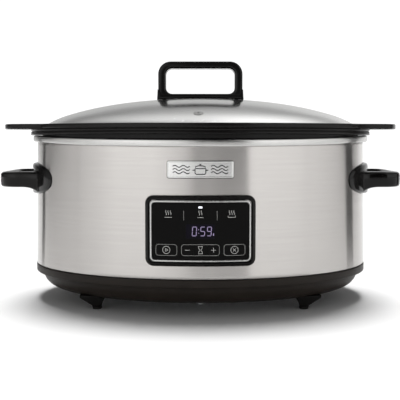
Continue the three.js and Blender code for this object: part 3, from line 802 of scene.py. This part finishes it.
badge_low, badge_high = span("badge_plate")
# The last two entries size the dark sheet behind the plate, which paints a shadow line round the
# badge.
BADGE = {
    "z": (badge_low.z + badge_high.z) / 2, "half": (badge_high.x, 8.2), "face": 184.3,
    "shadow_sheet_layers": (182.1, 183.1), "shadow_sheet_shows": 0.35,
}
badge_field = BADGE["face"] - 0.3


def badge_plate():
    half_x, half_z = BADGE["half"]
    face, skin = BADGE["face"], casing_half_width(BADGE["z"]) + 0.1
    border = [
        (0, skin), (0, face - 0.5), (0.25, face - 0.1), (0.6, face), (1.1, face),
        (1.35, badge_field), (1.36, skin),
    ]
    frame_part = front_frame("badge_border", half_x, half_z, 1.5, BADGE["z"], border)
    field = [rectangle(half_x - 1.2, half_z - 1.2, 0.6, 0, BADGE["z"])]
    return frame_part, front_plate("badge_field", field, skin, badge_field, 0.05)


def badge_shadow_sheet():
    """A dark sheet behind the plate that paints a shadow line round it; set a little low, its
    painted shadow shows most under the plate.
    """
    half_x, half_z = (half + BADGE["shadow_sheet_shows"] for half in BADGE["half"])
    # Set 0.15 mm below the plate's middle, so the painted shadow is widest at the bottom.
    outline = rectangle(half_x, half_z, 1.8, 0, BADGE["z"] - 0.15)
    return front_plate("badge_shadow_sheet", [outline], *BADGE["shadow_sheet_layers"], 0.15)


badge_border, badge_face = badge_plate()
place(badge_border, "bright_trim", "badge_plate")
place(badge_face, "bright_trim")
# A dark sheet that paints a shadow line round the badge.
place(badge_shadow_sheet(), "handle_plastic")


def wave(x, z, tall, sway, steps=12):
    """An upright S-shaped line."""
    spots = [k / steps for k in range(steps + 1)]
    return [(x + sway * math.sin(TAU * t), z + tall * (t - 0.5)) for t in spots], False


def ring_path(x, z, radius):
    return arc_points(x, z, radius, 0, 1, 28)[:-1], True


def line(*points):
    return list(points), False


def lying_wave(x, z, long, sway, steps=24, turns=2):
    spots = [k / steps for k in range(steps + 1)]
    path = [(x + long * (t - 0.5), z + sway * math.sin(TAU * turns * t)) for t in spots]
    return path, False


def badge_picture():
    """A plain pot with steam, between two lines of waves."""
    z, wide, knob = BADGE["z"], 5.2, 0.9
    pot = [
        (-wide, z + 0.9), (-wide, z - 3.4), (-4.0, z - 4.6), (4.0, z - 4.6), (wide, z - 3.4),
        (wide, z + 0.9),
    ]
    lid = [(x, z + 1.6 + rise * 0.4) for x, rise in arc_points(0, 0, wide, 0.04, 0.46, 12)]
    paths = [(pot, True), (lid, False), line((-knob, z + 4.8), (knob, z + 4.8))]
    for side in (-1, 1):
        paths.append(line((side * wide, z - 0.6), (side * 7.6, z - 0.6)))
        paths += [lying_wave(side * 18.6, z + lift, 16.5, 0.95) for lift in (-3.1, 0, 3.1)]
    return strokes("badge_picture", paths, 1.05, badge_field)


place(badge_picture(), "handle_plastic", material=BADGE_INK)

# ------------------------------------------------------------------ heating liner


def liner():
    low, high = span("heating_liner")
    sheet = 1.2
    floor, flange = low.z, high.z - sheet
    foot, top = 160.2, 172.6
    shape = [
        (0, floor, 0), (foot - 14, floor, 0), (foot, floor + 3, 14), (foot + 0.6, floor + 16, 5),
        (top, flange, 1.2), (high.x, flange, 0.4), (high.x, flange + sheet, 0.4),
        (top - sheet, flange + sheet, 1.6), (foot - 0.6, floor + 16, 5),
        (foot - sheet, floor + 4.2, 13), (foot - 15, floor + sheet, 0), (0, floor + sheet, 0),
    ]
    return from_bmesh("liner_pan", lathe(rounded(shape, 8), closed=False), 50)


place(liner(), "aluminium", "heating_liner")

# ------------------------------------------------------------------ side handles

SIDE = {
    "half": 40.0, "reach": 214.0, "corner": 15.0, "thick": 5.75, "tall": 8.35, "z": 132.35,
    "slope": 0.15, "flare_long": 20.0, "flare_thick": 2.5, "flare_tall": 3.6, "power": 4.5,
}
FLANGE = {
    "z": 133.0, "half_length": 73.0, "half_height": 17.2, "thick": 5.0, "power": 2.8, "edge": 0.9,
}
GRIP_VOXEL = 0.7


def grip_route():
    """The right grip's centreline in plan, from casing to casing."""
    half, reach, corner = SIDE["half"], SIDE["reach"], SIDE["corner"]
    root = side_x(casing_half_width(SIDE["z"]), half) - 1.0
    arm = [(root + (reach - corner - root) * k / 8, -half) for k in range(9)]
    arm += arc_points(reach - corner, -half + corner, corner, 0.75, 1.0, 10)[1:]
    bar = [(reach, -half + corner + 2 * (half - corner) * k / 12) for k in range(1, 12)]
    return arm + bar + [(x, -y) for x, y in arm[::-1]]


def grip_section(thick, tall, power, steps=48):
    """A squarish rounded section as (across, up) points."""
    out = []
    for k in range(steps):
        a = TAU * k / steps
        c, s = math.cos(a), math.sin(a)
        out.append((
            thick * math.copysign(abs(c) ** (2 / power), c),
            tall * math.copysign(abs(s) ** (2 / power), s),
        ))
    return out


def grip_loop(bm):
    """The bar that a hand holds, with its two arms."""
    route = grip_route()
    root = route[0][0]
    rings = []
    for i, (x, y) in enumerate(route):
        before, after = route[max(i - 1, 0)], route[min(i + 1, len(route) - 1)]
        along = Vector((after[0] - before[0], after[1] - before[1])).normalized()
        # Towards its root the arm deepens downwards.
        flare = max(0.0, 1 - (x - root) / SIDE["flare_long"]) ** 2.4
        thick = SIDE["thick"] + SIDE["flare_thick"] * flare
        drop = SIDE["flare_tall"] * flare
        tall = SIDE["tall"] + drop
        ring = []
        for across, up in grip_section(thick, tall, SIDE["power"]):
            # The top face slopes down to the outside.
            z = SIDE["z"] - drop + up - SIDE["slope"] * across * max(0, up) / tall
            ring.append(bm.verts.new((x + along.y * across, y - along.x * across, z)))
        rings.append(ring)
    bridge(bm, rings, False)
    for ring in (rings[0], rings[-1]):
        bm.faces.new(ring)


def grip_flange(bm, spokes=96, hoops=20):
    """A shallow pillow on the casing, from which the arms grow."""
    layers = []
    for outer in (True, False):
        middle = FLANGE["thick"] + FLANGE["edge"] if outer else 0.05
        skin = casing_half_width(FLANGE["z"])
        layer = [[bm.verts.new((side_x(skin + middle, 0), 0, FLANGE["z"]))]]
        for h in range(1, hoops + 1):
            rho = h / hoops
            round_off = (1 - rho**14) ** 0.5
            hoop = []
            for c, s in grip_section(1, 1, FLANGE["power"], spokes):
                y = FLANGE["half_length"] * rho * c
                z = FLANGE["z"] + FLANGE["half_height"] * rho * s
                thick = FLANGE["thick"] * round_off * (1 - 0.8 * (rho * c) ** 2)
                proud = FLANGE["edge"] + thick if outer else 0.05
                hoop.append(bm.verts.new((side_x(casing_half_width(z) + proud, y), y, z)))
            layer.append(hoop)
        layers.append(layer)
    bridge(bm, layers[0] + layers[1][::-1], False)


def side_grip():
    bm = bmesh.new()
    grip_loop(bm)
    grip_flange(bm)
    obj = from_bmesh("side_grip_right", bm, 180)
    blend = obj.modifiers.new("moulding", "REMESH")
    blend.mode = "VOXEL"
    blend.voxel_size = GRIP_VOXEL * MM
    soften = obj.modifiers.new("fillets", "SMOOTH")
    soften.factor = 0.5
    soften.iterations = 2
    run_modifiers(obj)
    obj.data.shade_smooth()
    return obj


grip_right = side_grip()
for grip, handle in (
    (grip_right, "side_handle_right"), (mirrored(grip_right, "side_grip_left"), "side_handle_left"),
):
    place(grip, "handle_plastic", handle)
    grip.visible_shadow = False  # the studio's light leaves the floor beside the cooker clear

# ------------------------------------------------------------------ control panel

FRAME_HALF = (panel_high.x, (panel_high.z - panel_low.z) / 2, 8.0)
TRIM_HALF = (49.3, 29.9, 5.0)
# Faces and backs on the front, each the half-width of the oval that it lies on.
BEZEL_FACE, TRIM_FACE, FASCIA_FACE = 188.4, 188.7, 187.8
FASCIA_BACK, KEY_BACK = 185.9, 186.2
skin = casing_half_width(PANEL_Z)

frame_width = FRAME_HALF[0] - TRIM_HALF[0] - 0.3
bezel_sections = [
    (0, skin + 0.2), (0, skin + 1.0), (0.15, skin + 1.8), (0.6, skin + 2.7), (1.4, skin + 3.6),
    (2.3, BEZEL_FACE - 0.25), (2.9, BEZEL_FACE - 0.02), (3.3, BEZEL_FACE - 0.15),
    (3.6, BEZEL_FACE - 0.8), (frame_width - 0.35, BEZEL_FACE - 1.9),
    (frame_width, BEZEL_FACE - 2.0), (frame_width, skin + 0.6),
]
bezel = front_frame("panel_bezel", *FRAME_HALF, PANEL_Z, bezel_sections)
place(bezel, "handle_plastic", "panel_frame", material=BEZEL)

trim_sections = [
    (0, TRIM_FACE - 2.2), (0, TRIM_FACE - 0.7), (0.25, TRIM_FACE - 0.15),
    (0.7, TRIM_FACE), (1.1, TRIM_FACE), (1.55, TRIM_FACE - 0.15),
    (1.8, TRIM_FACE - 0.7), (1.8, TRIM_FACE - 2.2),
]
trim = front_frame("trim_bead", *TRIM_HALF, PANEL_Z, trim_sections)
place(trim, "bright_trim", "trim_ring", material=TRIM)

KEY = {"z": 69.1, "half": 5.8, "corner": 2.6}
KEY_GAP = 0.25
KEYS = {
    "start": (-33.1, 10.65), "minus": (-12.7, 6.1), "timer": (0.0, 6.1), "plus": (12.7, 6.1),
    "cancel": (33.1, 10.65),
}


def key_outline(key, grow):
    x, half = KEYS[key]
    return rectangle(half + grow, KEY["half"] + grow, KEY["corner"] + grow, x, KEY["z"])


fascia_half = (TRIM_HALF[0] - 2.1, TRIM_HALF[1] - 2.1, TRIM_HALF[2] - 1.7)
fascia_outlines = [rectangle(*fascia_half, 0, PANEL_Z)]
fascia_outlines += [key_outline(key, KEY_GAP) for key in KEYS]
fascia = front_plate("fascia_plate", fascia_outlines, FASCIA_BACK, FASCIA_FACE, 0.2)
place(fascia, "gloss_fascia", "panel_fascia")

for key in KEYS:
    cap = front_plate(f"cap_{key}", [key_outline(key, 0)], KEY_BACK, FASCIA_FACE, 0.25)
    place(cap, "gloss_fascia", f"key_{key}", body=f"{key}_key")

# Printed outlines: a ring round the first and last key, and one long ring over the middle three.
inset = 0.45
ring_half = KEY["half"] - inset
end_corner = KEY["corner"]


def full_ring(key):
    x, half = KEYS[key]
    return rectangle(half - inset, ring_half, end_corner, x, KEY["z"]), True


def open_ring(key, side):
    """Half a ring: open on the side that faces the timer key."""
    x, half = KEYS[key]
    z, outer = KEY["z"], x + side * (half - inset)
    corner_x, corner_z = outer - side * end_corner, ring_half - end_corner
    start, end = (0, 1.0) if side > 0 else (0.5, 0.5)
    top = arc_points(corner_x, z + corner_z, end_corner, start, 0.25)
    low = arc_points(corner_x, z - ring_half + end_corner, end_corner, 0.75, end)
    inner = x - side * (half + KEY_GAP)
    path = [(inner, z + ring_half), *top[::-1], *low[::-1], (inner, z - ring_half)]
    return path, False


def straight_pair(key):
    x, half = KEYS[key]
    half += KEY_GAP
    return [line((x - half, KEY["z"] + s * ring_half), (x + half, KEY["z"] + s * ring_half))
            for s in (-1, 1)]


OUTLINES = {
    "start": [full_ring("start")], "minus": [open_ring("minus", -1)],
    "timer": straight_pair("timer"), "plus": [open_ring("plus", 1)],
    "cancel": [full_ring("cancel")],
}


def hourglass(x, z):
    half, tall = 1.75, 3.5
    waist = [(x - half, z + tall), (x - half, z + 1.9), (x - 0.35, z), (x - half, z - 1.9)]
    waist += [(x - half, z - tall), (x + half, z - tall), (x + half, z - 1.9), (x + 0.35, z)]
    waist += [(x + half, z + 1.9), (x + half, z + tall)]
    caps = [line((x - 2.3, z + s * tall), (x + 2.3, z + s * tall)) for s in (-1, 1)]
    return [(waist, True), *caps]


def symbol(key):
    x, z = KEYS[key][0], KEY["z"]
    if key == "start":
        arrow = [(x - 0.9, z - 1.5), (x + 1.7, z), (x - 0.9, z + 1.5)]
        return [ring_path(x, z, 3.6), (arrow, True)]
    if key == "cancel":
        arm = 1.5
        bars = [line((x - arm, z - arm * s), (x + arm, z + arm * s)) for s in (1, -1)]
        return [ring_path(x, z, 3.6), *bars]
    if key == "timer":
        return hourglass(x, z)
    signs = [line((x - 2.2, z), (x + 2.2, z))]
    if key == "plus":
        signs.append(line((x, z - 2.2), (x, z + 2.2)))
    return signs


for key in KEYS:
    edge = strokes(f"edge_{key}", OUTLINES[key], 0.55, FASCIA_FACE)
    place(edge, "gloss_fascia", body=f"{key}_key", material=LINE_INK)
    mark = strokes(f"mark_{key}", symbol(key), 0.58, FASCIA_FACE)
    place(mark, "gloss_fascia", body=f"{key}_key", material=INK)


HEAT = {"wave_z": 105.4, "wave_tall": 4.4, "pitch": 2.2, "line_z": 100.9}


def heat_symbols():
    """Three settings: low, high and keep warm, which has a tray for its line."""
    z, line_z = HEAT["wave_z"], HEAT["line_z"]
    paths = []
    for x, count in ((-31.1, 3), (0, 2), (30.4, 3)):
        starts = [x + (k - (count - 1) / 2) * HEAT["pitch"] for k in range(count)]
        paths += [wave(start, z, HEAT["wave_tall"], 0.45) for start in starts]
    paths += [line((-34.6, line_z), (-27.6, line_z)), line((-2.9, line_z), (2.9, line_z))]
    tray = line((26.6, line_z + 1.7), (27.0, line_z), (33.8, line_z), (34.2, line_z + 1.7))
    return [*paths, tray]


place(strokes("heat_marks", heat_symbols(), 0.6, FASCIA_FACE), "gloss_fascia", material=INK)
dividers = [line((x, 98.1), (x, 107.2)) for x in (-16.2, 16.2)]
place(strokes("dividers", dividers, 0.4, FASCIA_FACE), "gloss_fascia", material=LINE_INK)

DISPLAY_Z = 87.3
window_outline = rectangle(14, 7, 1, 0, DISPLAY_Z)
window = front_plate(
    "display_window", [window_outline], FASCIA_FACE - 0.3, FASCIA_FACE + 0.02, 0.1,
)
place(window, "gloss_fascia", material=WINDOW)

SEGMENTS_ON = {"0": "abcdef", "5": "afgcd", "9": "abcfgd"}


def digit_paths(digit, x, z, half_width, half_height, slant=0.06):
    """The lit segments of a seven-segment digit."""
    w, h, gap = half_width, half_height, 0.28
    ends = {
        "a": ((-w + gap, h), (w - gap, h)), "b": ((w, h - gap), (w, gap)),
        "c": ((w, -gap), (w, -h + gap)), "d": ((-w + gap, -h), (w - gap, -h)),
        "e": ((-w, -gap), (-w, -h + gap)), "f": ((-w, h - gap), (-w, gap)),
        "g": ((-w + gap, 0), (w - gap, 0)),
    }
    out = []
    for name in SEGMENTS_ON[digit]:
        out.append(line(*[(x + px + slant * pz, z + pz) for px, pz in ends[name]]))
    return out


DIGIT_Z = DISPLAY_Z + 0.1
digits = []
for digit, x in (("0", -5.8), ("5", 2.2), ("9", 8.6)):
    digits += digit_paths(digit, x, DIGIT_Z, 1.95, 4.3)
lit = strokes("lit_digits", digits, 0.72, FASCIA_FACE + 0.04)
place(lit, "lamp", material=DIGIT_LIGHT)
dots = [
    line((-1.75, DIGIT_Z + lift - 0.25), (-1.75, DIGIT_Z + lift + 0.25)) for lift in (-1.7, 1.7)
]
dots.append(line((12.7, 83.2), (12.7, 85.4)))
place(strokes("lit_dots", dots, 0.9, FASCIA_FACE + 0.04), "lamp", material=DIGIT_LIGHT)

LED_SPACING, LED_Z = 31.2, 110.7
for spot, x in (("left", -LED_SPACING), ("middle", 0), ("right", LED_SPACING)):
    lamp_outline = [rectangle(1.9, 0.9, 0.5, x, LED_Z)]
    lamp = front_plate(
        f"status_lamp_{spot}", lamp_outline, FASCIA_FACE - 0.3, FASCIA_FACE + 0.05, 0.1,
    )
    place(lamp, "lamp", material=None if spot == "middle" else FINISHES["gloss_fascia"])

# ------------------------------------------------------------------ cooking bowl

bowl_low, bowl_high = span("cooking_bowl")
BOWL = {
    "foot": 156.0, "neck": 169.0, "step": 176.2, "rim": 188.9, "lip_z": 181.6,
    "crease_z": 184.4, "groove_z": 187.2, "wall": 3.0,
    "ledge_outer": 174.0, "ledge_inner": 167.5, "ledge_z": 189.7,
}
LIP_DROOP = 1.7  # the lip comes down to the band where the band rises
EAR = {
    "oval": 183.0, "root": 68.0, "knee_x": 196.0, "knee": 59.0, "tip": bowl_high.x - 1.3,
    "z": (186.5, 192.1),
}


def bezier(p0, p1, p2, p3, steps=16):
    out = []
    for k in range(1, steps + 1):
        t = k / steps
        weights = (1 - t) ** 3, 3 * t * (1 - t) ** 2, 3 * t * t * (1 - t), t**3
        out.append(tuple(
            weights[0] * q0 + weights[1] * q1 + weights[2] * q2 + weights[3] * q3
            for q0, q1, q2, q3 in zip(p0, p1, p2, p3)
        ))
    return out


def ear_outline():
    """The right ear in plan. Its root follows the rim."""
    knee, knee_x, tip, root = EAR["knee"], EAR["knee_x"], EAR["tip"], EAR["root"]
    across = [root - 2 * root * k / 24 for k in range(25)]
    out = [(side_x(EAR["oval"], y), y) for y in across]
    out += bezier(out[-1], (190, -root + 1), (192, -knee - 1), (knee_x, -knee), 8)
    out += bezier((knee_x, -knee), (tip - 8, -knee + 3), (tip, -knee / 2), (tip, 0))
    out += bezier((tip, 0), (tip, knee / 2), (tip - 8, knee - 3), (knee_x, knee))
    out += bezier((knee_x, knee), (192, knee + 1), (190, root - 1), out[0], 8)[:-1]
    return out


def bowl_body():
    wall, rim_top_z, low = BOWL["wall"], bowl_high.z, bowl_low.z
    foot, neck, rim, step = BOWL["foot"], BOWL["neck"], BOWL["rim"], BOWL["step"]
    lip, crease, groove = BOWL["lip_z"], BOWL["crease_z"], BOWL["groove_z"]
    ledge_outer, ledge_inner, ledge = BOWL["ledge_outer"], BOWL["ledge_inner"], BOWL["ledge_z"]
    shape = [
        (0, low, 0), (foot - 16, low, 0), (foot - 1.5, low + 1.5, 13), (foot + 0.5, low + 14, 8),
        (neck - 0.6, 174.5, 1), (step, 176, 1.5), (step, lip, 0.6), (rim, lip, 2.0),
        (rim, crease - 0.9, 1.0), (rim - 1.3, crease, 0.5), (rim, crease + 0.9, 1.0),
        (rim, groove - 0.5, 0.9), (rim - 1.6, groove, 0.6), (rim, groove + 0.5, 0.9),
        (rim, rim_top_z, 2.2), (ledge_outer, rim_top_z, 1.6), (ledge_outer, ledge, 1.0),
        (ledge_inner, ledge, 2.0), (neck - wall, lip - 1, 4), (foot - wall + 0.5, low + 15, 8),
        (foot - wall - 1.5, low + 4.4, 13), (foot - 17, low + wall, 0), (0, low + wall, 0),
    ]
    bm = lathe(rounded(shape, 7), closed=False)
    for v in bm.verts:
        half_width = math.hypot(v.co.x, v.co.y / DEPTH_RATIO)
        if half_width > step - 1 and lip - 2 < v.co.z < lip + 2:
            v.co.z -= LIP_DROOP * (abs(v.co.x) / rim) ** 4
    return from_bmesh("bowl_body", bm, 40)


def bowl_ear(name, side):
    low_z, top_z = EAR["z"]
    flat = plate_bmesh([ear_outline()], top_z - low_z, 1.2, 4)
    for v in flat.verts:
        v.co = (side * v.co.x, v.co.z, top_z + v.co.y)
    return from_bmesh(name, flat, 40)


place(bowl_body(), "bowl_coating", "cooking_bowl", body="bowl")
for side_name, side in SIDES:
    ear = place(bowl_ear(f"bowl_ear_{side_name}", side), "bowl_coating", body="bowl")
    ear.visible_shadow = False  # the studio's light leaves the floor beside the cooker clear

# ------------------------------------------------------------------ glass lid

# The dome drops from its apex by bend * r^2 + roll * r^4, and turns down a little at its edge.
DOME = {
    "apex": 220.9, "bend": 6.6e-4, "roll": 9e-9, "thick": 4.0, "turn_down": 2.0,
    "turn_from": 150.0, "seat": 189.85, "half_width": span("lid_glass")[1].x,
}
VENT = {"x": -2.0, "y": -114.0, "hole": 4.6}


def dome_z(half_width):
    turned_share = max(0, half_width - DOME["turn_from"]) / (DOME["half_width"] - DOME["turn_from"])
    curve = DOME["bend"] * half_width**2 + DOME["roll"] * half_width**4
    return DOME["apex"] - curve - DOME["turn_down"] * turned_share**2


vent_half_width = abs(VENT["y"]) / DEPTH_RATIO
vent_slope = 2 * DOME["bend"] * vent_half_width + 4 * DOME["roll"] * vent_half_width**3
vent_place = (
    Matrix.Translation((VENT["x"], VENT["y"], dome_z(vent_half_width)))
    @ Matrix.Rotation(math.atan(vent_slope / DEPTH_RATIO), 4, "X")
)
screw_low, screw_high = span("lid_screw_right")
SCREW_X = (screw_low.x + screw_high.x) / 2


def glass_dome():
    steps = 40
    rim = DOME["half_width"]
    stations = [rim * k / steps for k in range(steps)]
    top = [(r, dome_z(r)) for r in stations]
    under = [(r, max(dome_z(r) - DOME["thick"], DOME["seat"])) for r in stations]
    edge = rounded([
        (*under[-1], 0), (rim - 0.2, DOME["seat"], 0.9), (rim, dome_z(rim) - 0.2, 1.2),
        (*top[-1], 0),
    ])
    profile = under + edge[1:-1] + top[::-1]
    lid = from_bmesh("glass_dome", lathe(profile, closed=False), 60)
    vent_bar = [(0, -20), (VENT["hole"], -20), (VENT["hole"], 20), (0, 20)]
    cutters = [turned("hole", vent_bar, vent_place)]
    for side in (-1, 1):
        bar = [(0, 190), (3, 190), (3, 240), (0, 240)]
        cutters.append(turned("hole", bar, Matrix.Translation((side * SCREW_X, 0, 0))))
    return cut_with(lid, *cutters)


place(glass_dome(), "glass", "lid_glass", body="lid")

grommet_profile = rounded([
    (1.3, -5.2, 0.3), (4.3, -5.2, 0.4), (4.3, 0.05, 0.1), (4.9, 0.05, 0.1), (4.9, 0.35, 0.25),
    (1.3, 0.35, 0.3),
], closed=True)
place(turned("vent_bush", grommet_profile, vent_place), "rubber", "vent_grommet", body="lid",
      material=GREY_RUBBER)

for side_name, side in SIDES:
    spot = Matrix.Translation((side * SCREW_X, 0, 0))
    low_z, top_z = screw_low.z, screw_high.z
    knob = rounded([
        (0, low_z, 0), (1.4, low_z, 0.5), (3.7, low_z + 0.9, 1.1), (3.7, low_z + 3.0, 0.3),
        (1.9, low_z + 3.0, 0.1), (1.9, top_z, 0.4), (0, top_z, 0),
    ])
    stud = turned(f"lid_stud_{side_name}", knob, spot)
    place(stud, "black_screw", f"lid_screw_{side_name}", body="lid")
    gasket_low, gasket_high = span(f"lid_gasket_{side_name}")
    washer = rounded([
        (2.3, gasket_low.z, 0.2), (4.2, gasket_low.z, 0.5), (4.2, gasket_high.z, 0.5),
        (2.3, gasket_high.z, 0.2),
    ], closed=True)
    seal = turned(f"lid_seal_{side_name}", washer, spot)
    place(seal, "rubber", f"lid_gasket_{side_name}", body="lid")

loop_high = span("lid_handle")[1]
LOOP = {
    "half": loop_high.x, "flare": 1.2, "top": loop_high.z, "corner": 14.0, "depth": 20.0,
    "open_half": 38.5, "open_low": 226.2, "open_top": 254.2, "open_corner": 7.0,
}


def lid_handle():
    """A loop and the low saddle that it grows out of."""
    half, top, corner = LOOP["half"], LOOP["top"], LOOP["corner"]
    seat = dome_z(half) + 0.3
    outer = [(half, seat + 2.0), *arc_points(half - corner, top - corner, corner, 0, 0.25, 12)]
    outer += arc_points(-half + corner, top - corner, corner, 0.25, 0.5, 12)
    outer.append((-half, seat + 2.0))
    middle = (LOOP["open_low"] + LOOP["open_top"]) / 2
    hole = rectangle(
        LOOP["open_half"], (LOOP["open_top"] - LOOP["open_low"]) / 2, LOOP["open_corner"], 0, middle,
    )
    bm = plate_bmesh([outer, hole], LOOP["depth"], 2.6, 5)
    flare, depth = LOOP["flare"], LOOP["depth"] + 3
    arch = [(half * (1 - 2 * k / 24), dome_z(half * (1 - 2 * k / 24)) + 0.35) for k in range(25)]
    saddle = [(x * (half + flare) / half, z) for x, z in arch]
    low = LOOP["open_low"] - 0.4
    saddle += [(-half - 0.6, low + 5.5), (-half + 4.4, low), (half - 4.4, low)]
    saddle.append((half + 0.6, low + 5.5))
    foot = plate_bmesh([saddle], depth, 1.4, 4)
    bmesh.ops.translate(bm, vec=(0, LOOP["depth"] / 2, 0), verts=bm.verts)
    bmesh.ops.translate(foot, vec=(0, depth / 2, 0), verts=foot.verts)
    mesh = bpy.data.meshes.new("foot")
    foot.to_mesh(mesh)
    foot.free()
    bm.from_mesh(mesh)
    bpy.data.meshes.remove(mesh)
    return from_bmesh("loop_handle", bm, 35)


place(lid_handle(), "handle_plastic", "lid_handle", body="lid")

# ------------------------------------------------------------------ floor, light and camera

FLOOR_HALF = 5.0


def floor():
    bm = bmesh.new()
    bmesh.ops.create_grid(bm, x_segments=8, y_segments=8, size=FLOOR_HALF / MM)
    obj = from_bmesh("studio_floor", bm)
    made = Finish("studio_floor", (0.86, 0.86, 0.86), 0.7, Specular_IOR_Level=0.1)
    made.shade(made.noise(3), 0.01)
    obj.data.materials.append(made.material)


floor()

# Brightness round the studio: (azimuth in degrees, level); 0 faces the cooker's front, + is right.
STUDIO_BANDS = [
    (-180, 0.9), (-150, 0.8), (-139, 0.35), (-129, 0.08), (-116, 0.08), (-105, 0.33), (-92, 0.63),
    (-85, 0.78), (-79, 0.72), (-76, 1.0), (-60, 1.4), (-50, 1.8), (-27, 1.85), (-16, 1.5), (-8, 1.1),
    (-2, 0.25), (5, 0.3), (12, 0.05), (25.5, 0.08), (27.5, 1.85), (52, 1.7), (60, 1.6), (66, 1.35),
    (70, 1.42), (86, 1.12), (96, 0.9), (104, 0.6), (108, 0.06), (121, 0.1), (141, 1.5), (155, 1.4),
    (180, 0.9),
]
# How that level changes with the sine of the elevation, towards the front and towards the back.
FRONT_RISE = [(0.0, 1.0), (0.3, 1.0), (0.6, 0.65), (0.85, 0.55), (1.0, 0.5)]
BACK_RISE = [
    (0.0, 0.75), (0.22, 0.68), (0.37, 0.6), (0.45, 0.4), (0.52, 0.34), (0.58, 0.4), (0.68, 0.6),
    (0.76, 0.76), (0.85, 0.95), (1.0, 1.0),
]
BACK_STARTS = (math.radians(105), math.radians(140))  # the front's rise fades into the back's
BRIGHTEST = 1.85
FILL_LEVEL = 0.2
BACKDROP_LEVEL = 1.1


def grey(level):
    return (level, level, level)


def studio_world():
    world = bpy.data.worlds.new("studio")
    bpy.context.scene.world = world
    world.use_nodes = True
    world.node_tree.nodes.clear()
    made = Nodes(world.node_tree)

    def math_node(operation, *values):
        node = made.node("Math", operation=operation)
        for socket, value in zip(node.inputs, values):
            if isinstance(value, (int, float)):
                socket.default_value = value
            else:
                made.wire(value, socket)
        return node.outputs[0]

    def mixed(kind, factor, first, second):
        node = made.node("Mix", data_type="RGBA", blend_type=kind)
        node.inputs[0].default_value = 1.0
        for socket, value in ((0, factor), (6, first), (7, second)):
            if value is not None:
                made.wire(value, node.inputs[socket])
        return node.outputs[2]

    parts = made.node("SeparateXYZ")
    made.wire(made.node("TexCoord").outputs["Generated"], parts.inputs[0])
    towards_front = math_node("MULTIPLY", parts.outputs["Y"], -1)
    azimuth = math_node("ARCTAN2", parts.outputs["X"], towards_front)
    share = made.ranged(azimuth, 0, 1, -math.pi, math.pi)
    stops = [((angle + 180) / 360, grey(level / BRIGHTEST)) for angle, level in STUDIO_BANDS]
    bands = made.ramp(share, stops)
    backness = made.ranged(
        math_node("ABSOLUTE", azimuth), 0, 1, *BACK_STARTS, interpolation_type="SMOOTHSTEP",
    )
    front, back = (
        made.ramp(parts.outputs["Z"], [(sine, grey(level)) for sine, level in rise])
        for rise in (FRONT_RISE, BACK_RISE)
    )
    rise = mixed("MIX", backness, front, back)
    light = made.node("Background")
    light.inputs["Strength"].default_value = BRIGHTEST
    made.wire(mixed("MULTIPLY", None, bands, rise), light.inputs["Color"])

    # Softboxes show in gloss; matt surfaces get an even fill and the camera a plain white.
    path = made.node("LightPath")
    shown = light
    for ray, level in (("Is Diffuse Ray", FILL_LEVEL), ("Is Camera Ray", BACKDROP_LEVEL)):
        plain = made.node("Background")
        plain.inputs["Color"].default_value = (*grey(level), 1)
        either = made.node("MixShader")
        made.wire(path.outputs[ray], either.inputs["Fac"])
        made.wire(shown.outputs[0], either.inputs[1])
        made.wire(plain.outputs[0], either.inputs[2])
        shown = either
    made.wire(shown.outputs[0], made.node("OutputWorld").inputs["Surface"])


studio_world()

TOP_LIGHT = {"energy": 3.6, "spread": 26, "tilt": -16}
key_data = bpy.data.lights.new("top_light", "SUN")
key_data.energy = TOP_LIGHT["energy"]
key_data.angle = math.radians(TOP_LIGHT["spread"])
key_light = link("top_light", key_data)
key_light.rotation_euler = (math.radians(TOP_LIGHT["tilt"]), 0, 0)
key_light.visible_glossy = False

# Dark cards beside the cooker: (name, azimuth from its spot, spot on the casing, width).
FLAGS = [
    ("flag_left", -131.5, (-0.166, -0.058), 0.05), ("flag_right", 114.6, (0.155, -0.074), 0.08),
]
FLAG_DISTANCE, FLAG_TALL = 0.35, 0.5


def flag(name, azimuth, spot, width):
    a = math.radians(azimuth)
    away = Vector((math.sin(a), -math.cos(a), 0))
    across = Vector((away.y, -away.x, 0))
    middle = Vector((*spot, 0)) + away * FLAG_DISTANCE
    corners = [middle + across * s * width / 2 + Vector((0, 0, z)) for s, z in
               ((-1, 0.001), (1, 0.001), (1, FLAG_TALL), (-1, FLAG_TALL))]
    bm = bmesh.new()
    bm.faces.new([bm.verts.new(c / MM) for c in corners])
    obj = from_bmesh(name, bm)
    felt = Finish(name, (0.19, 0.19, 0.19), 0.9, Specular_IOR_Level=0.0)
    felt.shade(felt.noise(20), 0.2)
    obj.data.materials.append(felt.material)
    for ray in ("camera", "diffuse", "transmission", "shadow"):
        setattr(obj, f"visible_{ray}", False)


for card in FLAGS:
    flag(*card)

CAMERA = {"spot": (-0.0004, -0.950, 0.180), "pitch": 4.407, "lens": 75.5}
camera_data = bpy.data.cameras.new("camera")
camera_data.lens = CAMERA["lens"]
camera_data.sensor_width = 36
camera = link("camera", camera_data)
camera.location = CAMERA["spot"]
camera.rotation_euler = (math.radians(90 - CAMERA["pitch"]), 0, 0)
bpy.context.scene.camera = camera
bpy.context.scene.view_settings.view_transform = "Standard"
